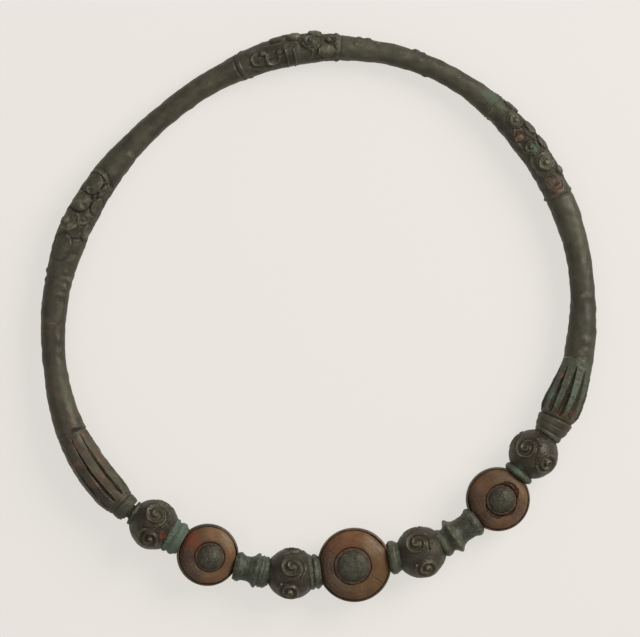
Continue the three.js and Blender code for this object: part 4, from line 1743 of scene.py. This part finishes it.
CENTRE_DISC = InlaidDisc(
    name="centre",
    angle=278.2,
    offset=-0.85,
    radius=9.6,
    height=1.15,
    recess=(-0.05, 0.0, 9.1),
    hole=(-0.5, -0.15, 4.78),
    stud_radius=4.7,
    peak=(0.15, 0.1),
    ground=paint(84, 67, 51),
    # Painted light among these fields: the pale one at 48 degrees and the pale band along the rim
    # at 70 degrees are painted highlight on the lit upper right of the domed inlay, and the dark
    # ones at 184 and 228 degrees are painted shade on its left and lower left. The others are the
    # inlay's own colours.
    tints_and_painted_light=tints_and_lights(
        (122, 98, 74, 48, 34, 0.1), (120, 78, 48, 95, 40), (104, 74, 42, 0, 34),
        (92, 58, 38, 135, 36), (52, 40, 30, 184, 42), (74, 59, 45, 228, 28), (100, 74, 46, 300, 50),
        (104, 84, 64, 70, 90, 0.88, 1.3, 0.5),
    ),
    cracks=(
        Crack(((3.9, -2.1), (5.3, -3.2), (6.4, -3.8), (7.7, -4.9)), 0.13, 0.26),
        Crack(((-6.9, 4.0), (-5.6, 3.2), (-4.3, 2.6)), 0.1, 0.2),
    ),
    grooves=0.03,
    open_edge=(48.0, 24.0, 0.3),
)

RIGHT_DISC = InlaidDisc(
    name="right",
    angle=314.4,
    offset=-0.15,
    radius=8.3,
    height=1.0,
    recess=(0.05, 0.0, 7.8),
    hole=(0.8, -0.15, 3.94),
    stud_radius=3.85,
    peak=(0.1, 0.1),
    ground=paint(84, 67, 52),
    # Painted light among these fields: the lighter ones at 20 and 88 degrees are painted highlight
    # on the lit upper right of the domed inlay, the dark ones at 182 and 226 degrees are painted
    # shade on its left and lower left, and the dark field by the hole at 222 degrees is the stud's
    # painted shadow. The others are the inlay's own colours.
    tints_and_painted_light=tints_and_lights(
        (96, 78, 57, 88, 46, 0.2), (104, 78, 50, 20, 46, 0.2), (96, 66, 44, 135, 30),
        (62, 43, 32, 182, 36), (56, 42, 31, 226, 26), (96, 68, 48, 280, 40),
        (96, 78, 66, 330, 36, 0.4), (56, 43, 31, 222, 34, -0.3, 0.5, 0.7),
    ),
    margins=(
        ErodedMargin(50, 52, 1.35, 0.42),
        ErodedMargin(238, 46, 1.2, 0.4),
        ErodedMargin(300, 40, 0.6, 0.3),
    ),
    grooves=0.03,
    open_edge=(205.0, 40.0, 0.32),
)


@dataclass
class FrontSegment:
    """The removable front: beads, spools, cups, tenon and the right terminal in one casting.

    Attributes:
        beads: Where its beads lie.
        discs: Its discs, from the left.
        terminal: Angle, width and offset of the right terminal.
        fluting: The hollows of the terminal.
        lines: Angle and height of the lines cut round it beside the bead.
        tenon: Profile of the tenon and its collar, from bead one towards the hoop.
        gap: Width of the stepped joint.
        flatness: Height of the terminal's section over its width.
        stains: Spots of corrosion.
    """

    beads: tuple[BeadSpot, ...] = BEADS
    discs: tuple[InlaidDisc, ...] = (LEFT_DISC, CENTRE_DISC, RIGHT_DISC)
    terminal: Rows = (
        (332.2, 6.6, -0.5), (333.1, 7.6, -0.46), (334.2, 8.5, -0.42), (335.6, 9.1, -0.37),
        (336.3, 9.35, -0.34), (336.8, 9.1, -0.32), (337.3, 9.45, -0.3), (338.6, 10.05, -0.24),
        (340.4, 10.2, -0.18), (343.0, 9.75, -0.06),
        (345.5, 9.1, 0.06), (348.0, 8.35, 0.22), (351.0, 7.8, 0.4),
    )
    fluting: Fluting = Fluting(10, -2.0, 349.2, 337.4, 0.95, 0.62, 0.2)
    lines: tuple[Point, ...] = ((336.75, -0.3), (335.0, -0.12), (333.4, -0.15))
    tenon: tuple[Point, ...] = (
        (4.6, 2.7), (5.1, 3.2), (6.1, 3.3), (6.4, 3.1), (6.5, 1.9), (10.2, 1.9), (10.45, 1.5),
    )
    gap: float = 0.08
    flatness: float = 0.96
    stains: tuple[Stain, ...] = (
        *spots(
            StainKind.RUST,
            (-40.2, -56.7, 2.0, 0.9), (62.5, -24.9, 1.6, 0.8), (65.5, -25.0, 1.4, 0.7),
            (63.6, -15.2, 1.6, 0.8), (45.0, -46.0, 1.2, 0.3),
        ),
        *spots(
            StainKind.VERDIGRIS,
            (60.5, -20.5, 2.2, 0.5), (66.0, -19.0, 2.2, 0.5), (52.0, -39.5, 2.4, 0.5),
        ),
    )

    def build(self, finish: bpy.types.Material) -> bpy.types.Object:
        """Makes the segment.

        Args:
            finish: Its material.

        Returns:
            The piece.
        """
        skins = [self.tenon_skin(), *self.bead_skins(), *self.spool_skins()]
        skins += [disc.cup() for disc in self.discs]
        skins.append(self.terminal_skin())
        names = ("front_segment_casting", "front_segment", "patinated_bronze")
        return Piece(*names, skins, self.stains).build(finish)

    def places(self) -> list[Array]:
        """The middles of the beads and discs in their order, and the terminal's nose."""
        one, two, three, four = (bead_centre(bead) for bead in self.beads)
        left, centre, right = (disc.middle() for disc in self.discs)
        nose = RING.point(self.terminal[0][0], self.terminal[0][2])
        return [one, left, two, centre, three, right, four, nose]

    def bead_skins(self) -> list[Skin]:
        """The four beads, each turned to face the next element."""
        places = self.places()
        end = RING.point(Hoop.terminal[-1][0], Hoop.terminal[-1][2])
        stops = [end, *places[1::2]]
        runs = zip(self.beads, stops[:-1], stops[1:])
        return [SpiralBead(spot, unit(after - before)).skin() for spot, before, after in runs]

    def spool_skins(self) -> list[Skin]:
        """The seven spools between them."""
        places = self.places()
        runs = enumerate(zip(SPOOLS.values(), places[:-1], places[1:]), start=101)
        return [spool.skin(start, end, seed) for seed, (spool, start, end) in runs]

    def tenon_skin(self) -> Skin:
        """The tenon that goes into the hoop, with the collar at its root."""
        start = bead_centre(self.beads[0])
        end = RING.point(Hoop.terminal[-1][0], Hoop.terminal[-1][2])
        stations = np.linspace(self.tenon[0][0], self.tenon[-1][0], 48)
        skin = turned_skin(start, unit(end - start), stations, read_table(self.tenon, stations), 48)
        return Skin(skin.loops, skin.relief - 0.2, 0.35)

    def terminal_skin(self) -> Skin:
        """The fluted right terminal, up to the stepped joint."""
        angle = np.linspace(self.terminal[0][0], 360 + JOINT.angle, 138)
        around = around_loop(100, 0.25)
        half = rounded_table(self.terminal, angle, 1, 0.1) / 2
        offset = read_table(self.terminal, angle, 2)
        height, hollow = self.fluting.carve(angle[:, None], around[None, :], half[:, None])
        height = cut_round(height, angle, self.lines, 0.45)
        plan = (angle - 360, around, half, offset)
        for _ in range(2):
            loops = section_loops(*plan, height, self.flatness, -1.0, self.gap)
            height = height + Weathering(17, 2.0, 0.02, 3).lift(loops)
        loops = section_loops(*plan, height, self.flatness, -1.0, self.gap)
        face = joint_face(loops[-1], float(offset[-1]), self.gap)[::-1]
        quiet = np.zeros((len(face), loops.shape[1]))
        full = above_ground(np.concatenate([loops, face]))
        relief = np.concatenate([height - 0.5 * hollow, quiet - 0.3])
        green = np.concatenate([0.5 * (1 - hollow) * ease(337, 340, angle)[:, None], quiet])
        return Skin(full, relief, green, np.concatenate([0.2 * hollow, quiet]))


# ---------------------------------------------------------------- finishes


class Wiring:
    """Makes the nodes of one tree and joins them."""

    def __init__(self, tree: bpy.types.NodeTree) -> None:
        """Empties the tree and keeps it."""
        self.tree = tree
        tree.nodes.clear()

    def add(
        self, kind: str, settings: dict[str, Any] | None = None, **inputs: Any
    ) -> bpy.types.Node:
        """Adds a node.

        Args:
            kind: Its type.
            settings: Its own properties.
            **inputs: Values or sockets for its inputs, by name with _ for a space.

        Returns:
            The node.
        """
        node = self.tree.nodes.new(kind)
        for name, value in (settings or {}).items():
            setattr(node, name, value)
        for name, value in inputs.items():
            self.join(value, node.inputs[name.replace("_", " ")])
        return node

    def join(self, value: Any, socket: bpy.types.NodeSocket) -> None:
        """Joins a socket to another, or sets its value."""
        if isinstance(value, bpy.types.NodeSocket):
            self.tree.links.new(value, socket)
        else:
            plain = isinstance(value, tuple) and len(value) == 3 and socket.type == "RGBA"
            socket.default_value = (*value, 1.0) if plain else value

    def mix(self, share: Any, under: Any, over: Any) -> bpy.types.NodeSocket:
        """Lays one colour over another.

        Args:
            share: How much of the upper one shows.
            under: The lower colour.
            over: The upper colour.

        Returns:
            The mixed colour.
        """
        node = self.tree.nodes.new("ShaderNodeMix")
        node.data_type = "RGBA"
        for value, index in ((share, 0), (under, 6), (over, 7)):
            self.join(value, node.inputs[index])
        return node.outputs[2]

    def layered(self, colour: Any, *layers: tuple[Any, float, Any]) -> bpy.types.NodeSocket:
        """Lays colours over another, one after the other.

        Args:
            colour: The lowest colour.
            *layers: Mask, strength and colour of each layer.

        Returns:
            The mixed colour.
        """
        for mask, strength, over in layers:
            colour = self.mix(self.times(mask, strength), colour, over)
        return colour

    def reckon(self, operation: str, first: Any, second: Any) -> bpy.types.NodeSocket:
        """Works on two values.

        Args:
            operation: What is done.
            first: The first.
            second: The second.

        Returns:
            The result.
        """
        node = self.add("ShaderNodeMath", {"operation": operation})
        self.join(first, node.inputs[0])
        self.join(second, node.inputs[1])
        return node.outputs[0]

    def plus(self, first: Any, second: Any) -> bpy.types.NodeSocket:
        """The sum of two values."""
        return self.reckon("ADD", first, second)

    def times(self, first: Any, second: Any) -> bpy.types.NodeSocket:
        """The product of two values."""
        return self.reckon("MULTIPLY", first, second)

    def span(
        self, value: Any, low: Any, high: Any, start: float = 0.0, end: float = 1.0
    ) -> bpy.types.NodeSocket:
        """Turns a range of values into another, and stops at its ends.

        Args:
            value: What is turned.
            low: Start of its range.
            high: End of its range.
            start: What low becomes.
            end: What high becomes.

        Returns:
            The new value.
        """
        node = self.add("ShaderNodeMapRange", {"interpolation_type": "SMOOTHSTEP"}, Value=value)
        for index, limit in enumerate((low, high, start, end), start=1):
            self.join(limit, node.inputs[index])
        return node.outputs[0]

    def roughen(self, shader: bpy.types.Node, height: Any, depth: float, share: float) -> None:
        """Gives a shader a fine uneven surface."""
        bump = self.add("ShaderNodeBump", Height=height, Distance=depth, Strength=share)
        self.join(bump.outputs["Normal"], shader.inputs["Normal"])

    def attribute(self, name: str) -> bpy.types.Node:
        """Reads a value that a mesh keeps at each point."""
        return self.add("ShaderNodeAttribute", {"attribute_name": name})


FLOAT_SOCKET = "NodeSocketFloat"


class SharedEffect:
    """A shader effect that is built once and placed in any finish."""

    name = "effect"
    inputs: tuple[tuple[str, float], ...] = ()
    outputs: tuple[str, ...] = ()

    def __init__(self) -> None:
        """Builds the group."""
        self.group = bpy.data.node_groups.new(self.name, "ShaderNodeTree")
        for name, value in self.inputs:
            socket = self.group.interface.new_socket(name, in_out="INPUT", socket_type=FLOAT_SOCKET)
            socket.default_value = value
        for name in self.outputs:
            self.group.interface.new_socket(name, in_out="OUTPUT", socket_type=FLOAT_SOCKET)
        wiring = Wiring(self.group)
        given = wiring.add("NodeGroupInput").outputs
        found = self.wire(wiring, given)
        made = wiring.add("NodeGroupOutput")
        for name, socket in found.items():
            wiring.join(socket, made.inputs[name])

    def wire(self, wiring: Wiring, given: Any) -> dict[str, bpy.types.NodeSocket]:
        """Wires the group.

        Args:
            wiring: What makes its nodes.
            given: The group's inputs by name.

        Returns:
            What each output shows.
        """
        raise NotImplementedError

    def place(self, wiring: Wiring, **values: Any) -> Any:
        """Places the effect in a finish."""
        return wiring.add("ShaderNodeGroup", {"node_tree": self.group}, **values).outputs


def in_millimetres(wiring: Wiring) -> bpy.types.NodeSocket:
    """The place on the torc in millimetres."""
    place = wiring.add("ShaderNodeTexCoord").outputs["Object"]
    scale = wiring.add("ShaderNodeVectorMath", {"operation": "SCALE"}, Vector=place, Scale=1000.0)
    return scale.outputs["Vector"]


class CloudyPatina(SharedEffect):
    """Clouds of darker and paler patina, with small flecks in them."""

    name = "cloudy_patina"
    inputs = (("Cloud Size", 6.0), ("Fleck Size", 0.8), ("Shift", 0.0))
    outputs = ("Clouds", "Flecks")

    def wire(self, wiring: Wiring, given: Any) -> dict[str, bpy.types.NodeSocket]:
        """Wires the group, as SharedEffect.wire says."""
        place = in_millimetres(wiring)
        moved = wiring.add("ShaderNodeVectorMath", {"operation": "ADD"})
        wiring.join(place, moved.inputs[0])
        wiring.join(given["Shift"], moved.inputs[1])
        found = {}
        rows = (("Clouds", "Cloud Size", 0.36, 0.66), ("Flecks", "Fleck Size", 0.48, 0.66))
        for name, size, low, high in rows:
            scale = wiring.reckon("DIVIDE", 1.0, given[size])
            values = {"Vector": moved.outputs[0], "Scale": scale, "Detail": 6.0}
            noise = wiring.add("ShaderNodeTexNoise", **values, Roughness=0.62)
            found[name] = wiring.span(noise.outputs[0], low, high)
        return found


class CastGrain(SharedEffect):
    """The fine uneven grain of an old casting, with small pits."""

    name = "cast_grain"
    inputs = (("Grain Size", 0.35), ("Pit Size", 1.1), ("Pits", 0.5))
    outputs = ("Height", "Pitted")

    def wire(self, wiring: Wiring, given: Any) -> dict[str, bpy.types.NodeSocket]:
        """Wires the group, as SharedEffect.wire says."""
        place = in_millimetres(wiring)
        fine = wiring.reckon("DIVIDE", 1.0, given["Grain Size"])
        wide = wiring.reckon("DIVIDE", 1.0, given["Pit Size"])
        values = {"Vector": place, "Scale": fine, "Detail": 4.0, "Roughness": 0.6}
        grain = wiring.add("ShaderNodeTexNoise", **values)
        cells = wiring.add("ShaderNodeTexVoronoi", {"feature": "F1"}, Vector=place, Scale=wide)
        patches = wiring.add("ShaderNodeTexNoise", Vector=place, Scale=0.35, Detail=3.0)
        inside = wiring.span(cells.outputs["Distance"], 0.32, 0.12)
        pit = wiring.times(inside, wiring.span(patches.outputs[0], 0.5, 0.62))
        deep = wiring.times(pit, given["Pits"])
        return {"Height": wiring.reckon("SUBTRACT", grain.outputs[0], deep), "Pitted": pit}


class RaisedWear(SharedEffect):
    """Where handling has rubbed the raised parts, and where the low ones are darker: dirt in the
    relief's hollows, and painted shade in the cup recesses round the inlays.
    """

    name = "raised_wear"
    inputs = (("Relief", 0.0), ("Break Up", 0.5), ("Low", -0.1), ("High", 0.2))
    outputs = ("Rubbed", "Sheltered")

    def wire(self, wiring: Wiring, given: Any) -> dict[str, bpy.types.NodeSocket]:
        """Wires the group, as SharedEffect.wire says."""
        broken = wiring.times(wiring.reckon("SUBTRACT", given["Break Up"], 0.5), 0.35)
        relief = wiring.plus(given["Relief"], broken)
        raised = wiring.span(relief, given["High"], wiring.plus(given["High"], 0.45))
        low = wiring.span(relief, given["Low"], wiring.reckon("SUBTRACT", given["Low"], 0.4))
        return {"Rubbed": raised, "Sheltered": low}


@dataclass(frozen=True)
class Effects:
    """The shared effects."""

    patina: CloudyPatina
    grain: CastGrain
    wear: RaisedWear


@dataclass(frozen=True)
class PatinatedBronze:
    """Old bronze with brown patina, green and red corrosion and rubbed high places.

    Attributes:
        name: Name of the material.
        body: Colour of the patina.
        cloud: Colour of its paler clouds.
        deep: Colour of the sheltered places, and of the painted shade in the cup recesses.
        rubbed: Colour of the rubbed places.
        verdigris: Colour of the green corrosion.
        rust: Colour of the red corrosion.
        roughness: How rough it is.
        shift: Moves its clouds, so that two finishes differ.
        bump: Depth of the grain in metres.
    """

    name: str
    body: Colour
    cloud: Colour
    deep: Colour
    rubbed: Colour
    verdigris: Colour
    rust: Colour
    roughness: float
    shift: float = 0.0
    bump: float = 0.00007

    def make(self, effects: Effects) -> bpy.types.Material:
        """Makes the material.

        Args:
            effects: The shared effects.

        Returns:
            The material.
        """
        material, wiring, shader = new_material(self.name)
        patina = effects.patina.place(wiring, Cloud_Size=5.5, Fleck_Size=0.75, Shift=self.shift)
        broad = effects.patina.place(wiring, Cloud_Size=19.0, Fleck_Size=2.6, Shift=self.shift + 40)
        grain = effects.grain.place(wiring, Grain_Size=0.32, Pit_Size=1.3, Pits=0.6)
        relief = wiring.attribute("relief").outputs["Fac"]
        limits = {"Break_Up": broad["Flecks"], "Low": -0.12, "High": 0.06}
        wear = effects.wear.place(wiring, Relief=relief, **limits)
        flecks = wiring.times(patina["Flecks"], 0.45)
        green = corroded(wiring, "verdigris", flecks, (0.25, 0.95), 0.12)
        flecks = wiring.times(broad["Flecks"], 0.35)
        red = corroded(wiring, "rust", flecks, (0.28, 0.9), 0.1)
        colour = wiring.layered(
            wiring.mix(patina["Clouds"], self.body, self.cloud),
            (broad["Clouds"], 0.4, self.deep),
            (wear["Rubbed"], 0.75, self.rubbed),
            (green, 0.8, self.verdigris),
            (red, 0.85, self.rust),
            # Darker in the low places: dirt in the hollows, and painted shade in the cup recesses.
            (wear["Sheltered"], 0.56, self.deep),
            (grain["Pitted"], 0.4, self.deep),
        )
        smooth, dull = self.roughness - 0.06, self.roughness + 0.1
        rough = wiring.span(patina["Clouds"], 0.0, 1.0, smooth, dull)
        wiring.join(colour, shader.inputs["Base Color"])
        wiring.join(wiring.plus(rough, wiring.times(green, 0.2)), shader.inputs["Roughness"])
        wiring.join(wiring.span(green, 0.0, 1.0, 0.34, 0.05), shader.inputs["Metallic"])
        wiring.roughen(shader, grain["Height"], self.bump, 0.8)
        return material


@dataclass(frozen=True)
class AgedInlay:
    """The brown, once red, glassy inlay with its streaks and small losses, and painted shade on its
    side walls.

    Attributes:
        name: Name of the material.
        stain: Colour of its darker streaks, and of the painted shade on its side walls.
        bloom: Colour of its paler, worn flecks.
        roughness: How rough it is.
        coat: How strong its gloss is.
    """

    name: str
    stain: Colour
    bloom: Colour
    roughness: float
    coat: float

    def make(self, effects: Effects) -> bpy.types.Material:
        """Makes the material, as PatinatedBronze.make does."""
        material, wiring, shader = new_material(self.name)
        patina = effects.patina.place(wiring, Cloud_Size=4.0, Fleck_Size=0.5, Shift=80.0)
        fine = effects.patina.place(wiring, Cloud_Size=1.4, Fleck_Size=0.3, Shift=120.0)
        grain = effects.grain.place(wiring, Grain_Size=0.4, Pit_Size=0.9, Pits=0.5)
        # Darker where the relief is low: painted shade on the inlay's side walls, and darker cracks
        # and broken margins.
        low = wiring.span(wiring.attribute("relief").outputs["Fac"], -0.06, -0.3)
        colour = wiring.layered(
            wiring.attribute("tint_and_painted_light").outputs["Color"],
            (patina["Clouds"], 0.45, self.stain),
            (fine["Flecks"], 0.24, self.bloom),
            (low, 0.9, self.stain),
        )
        wiring.join(colour, shader.inputs["Base Color"])
        rough = wiring.span(fine["Clouds"], 0.0, 1.0, self.roughness, self.roughness + 0.18)
        wiring.join(rough, shader.inputs["Roughness"])
        shader.inputs["Specular IOR Level"].default_value = 0.16
        shader.inputs["Coat Weight"].default_value = self.coat
        shader.inputs["Coat Roughness"].default_value = 0.3
        wiring.roughen(shader, grain["Height"], 0.00003, 0.6)
        return material


@dataclass(frozen=True)
class PaleFloor:
    """The plain pale sheet that the torc lies on.

    Attributes:
        name: Name of the material.
        colour: Its colour.
        glow: How much light comes through it from below.
    """

    name: str
    colour: Colour
    glow: float

    def make(self) -> bpy.types.Material:
        """Makes the material."""
        material, wiring, shader = new_material(self.name)
        noise = wiring.add("ShaderNodeTexNoise", Scale=3.0, Detail=1.0)
        share = wiring.span(noise.outputs[0], 0.3, 0.7)
        warm = tuple(value * 0.985 for value in self.colour)
        colour = wiring.mix(share, self.colour, warm)
        wiring.join(colour, shader.inputs["Base Color"])
        wiring.join(colour, shader.inputs["Emission Color"])
        shader.inputs["Emission Strength"].default_value = self.glow
        shader.inputs["Roughness"].default_value = 0.9
        shader.inputs["Specular IOR Level"].default_value = 0.1
        return material


def corroded(
    wiring: Wiring, name: str, flecks: Any, limits: Point, start: float
) -> bpy.types.NodeSocket:
    """Where a kind of corrosion lies.

    Args:
        wiring: What makes the finish's nodes.
        name: The value at each point that tells how strong it is.
        flecks: What breaks its edge up.
        limits: Where it begins to show and where it covers all.
        start: How strong it has to be for its flecks to show fully.

    Returns:
        The share that it covers.
    """
    strength = wiring.attribute(name).outputs["Fac"]
    spread = wiring.span(wiring.plus(strength, flecks), *limits)
    return wiring.times(spread, wiring.span(strength, 0.0, start))


def new_material(name: str) -> tuple[bpy.types.Material, Wiring, bpy.types.Node]:
    """Starts a material.

    Args:
        name: Its name.

    Returns:
        The material, what makes its nodes, and its shader.
    """
    material = bpy.data.materials.new(name)
    material.use_nodes = True
    wiring = Wiring(material.node_tree)
    shader = wiring.add("ShaderNodeBsdfPrincipled")
    output = wiring.add("ShaderNodeOutputMaterial")
    wiring.join(shader.outputs[0], output.inputs["Surface"])
    return material, wiring, shader


# ---------------------------------------------------------------- floor, light and camera


@dataclass(frozen=True)
class SoftLight:
    """A large soft lamp.

    Attributes:
        name: Its name.
        azimuth: Where it stands round the torc, in degrees from +X.
        elevation: How high it stands, in degrees.
        distance: How far off, in metres.
        size: Its size in metres.
        power: Its power in watts.
        colour: Its colour.
    """

    name: str
    azimuth: float
    elevation: float
    distance: float
    size: float
    power: float
    colour: Colour

    def hang(self) -> None:
        """Hangs the lamp, turned to the torc."""
        lamp = bpy.data.lights.new(self.name, "AREA")
        lamp.shape = "DISK"
        lamp.size, lamp.energy, lamp.color = self.size, self.power, self.colour
        holder = put(self.name, lamp)
        turn, rise = math.radians(self.azimuth), math.radians(self.elevation)
        level = math.cos(rise)
        way = Vector((math.cos(turn) * level, math.sin(turn) * level, math.sin(rise)))
        holder.location = way * self.distance
        holder.rotation_euler = way.to_track_quat("Z", "Y").to_euler()


@dataclass(frozen=True)
class Studio:
    """The pale floor, the soft light and the camera that looks straight down.

    Attributes:
        lights: The lamps.
        sky: Colour of the light from all round.
        sky_strength: Its strength.
        floor: The floor's finish.
        floor_size: Half its side in metres.
        eye: Where the camera stands in millimetres.
        lens: Focal length in millimetres.
    """

    lights: tuple[SoftLight, ...]
    sky: Colour
    sky_strength: float
    floor: PaleFloor
    floor_size: float = 0.4
    eye: tuple[float, float, float] = (0.39, -0.65, 929.9)
    lens: float = 200.0

    def set_up(self) -> None:
        """Lays the floor, hangs the lamps and sets the camera."""
        self.lay_floor()
        for light in self.lights:
            light.hang()
        self.fill_with_sky()
        self.set_camera()

    def lay_floor(self) -> None:
        """Lays the floor just under the torc."""
        half, low = self.floor_size, -0.1 * MM
        corners = [(-half, -half, low), (half, -half, low), (half, half, low), (-half, half, low)]
        mesh = bpy.data.meshes.new("pale_floor")
        mesh.from_pydata(corners, [], [(0, 1, 2, 3)])
        mesh.materials.append(self.floor.make())
        floor = put("pale_floor", mesh)

    def fill_with_sky(self) -> None:
        """Sets the light from all round."""
        world = bpy.data.worlds.new("studio_sky")
        world.use_nodes = True
        background = world.node_tree.nodes["Background"]
        background.inputs["Color"].default_value = (*self.sky, 1.0)
        background.inputs["Strength"].default_value = self.sky_strength
        bpy.context.scene.world = world
        bpy.context.scene.view_settings.view_transform = "Standard"

    def set_camera(self) -> None:
        """Sets the camera straight above the torc."""
        data = bpy.data.cameras.new("overhead_camera")
        data.lens, data.sensor_width = self.lens, 36.0
        camera = put("overhead_camera", data)
        camera.location = Vector(self.eye) * MM
        bpy.context.scene.camera = camera


HOOP_BRONZE = PatinatedBronze(
    name="hoop_bronze",
    body=paint(60, 55, 42),
    cloud=paint(74, 73, 56),
    deep=paint(38, 33, 24),
    rubbed=paint(108, 104, 84),
    verdigris=paint(70, 84, 66),
    rust=paint(92, 62, 46),
    roughness=0.52,
)

SEGMENT_BRONZE = PatinatedBronze(
    name="segment_bronze",
    body=paint(64, 56, 41),
    cloud=paint(76, 73, 56),
    deep=paint(34, 28, 20),
    rubbed=paint(112, 106, 84),
    verdigris=paint(76, 92, 76),
    rust=paint(118, 66, 38),
    roughness=0.48,
    shift=200.0,
)

STUD_BRONZE = PatinatedBronze(
    name="stud_dome_bronze",
    body=paint(58, 54, 41),
    cloud=paint(72, 72, 56),
    deep=paint(40, 35, 26),
    rubbed=paint(90, 88, 70),
    verdigris=paint(80, 88, 68),
    rust=paint(84, 60, 42),
    roughness=0.55,
    shift=320.0,
    bump=0.00016,
)

INLAY_GLASS = AgedInlay("aged_brown_inlay", paint(54, 32, 20), paint(136, 108, 78), 0.4, 0.1)

STUDIO = Studio(
    lights=(
        SoftLight("key_softbox", 32, 36, 0.9, 0.6, 7.6, (1.0, 0.98, 0.93)),
        SoftLight("overhead_fill", 200, 70, 1.0, 0.8, 1.6, (1.0, 0.98, 0.96)),
    ),
    sky=paint(235, 232, 228),
    sky_strength=0.5,
    floor=PaleFloor("pale_sheet", paint(121, 119, 116), 3.28),
)


def main() -> None:
    """Builds the torc piece by piece, then the studio."""
    logging.basicConfig(level=logging.INFO, format="%(message)s")
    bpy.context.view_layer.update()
    effects = Effects(CloudyPatina(), CastGrain(), RaisedWear())
    Hoop().build(HOOP_BRONZE.make(effects))
    FrontSegment().build(SEGMENT_BRONZE.make(effects))
    inlay_finish, stud_finish = INLAY_GLASS.make(effects), STUD_BRONZE.make(effects)
    for disc in (LEFT_DISC, CENTRE_DISC, RIGHT_DISC):
        disc.build(inlay_finish, stud_finish)
    STUDIO.set_up()


if __name__ == "__main__":
    main()
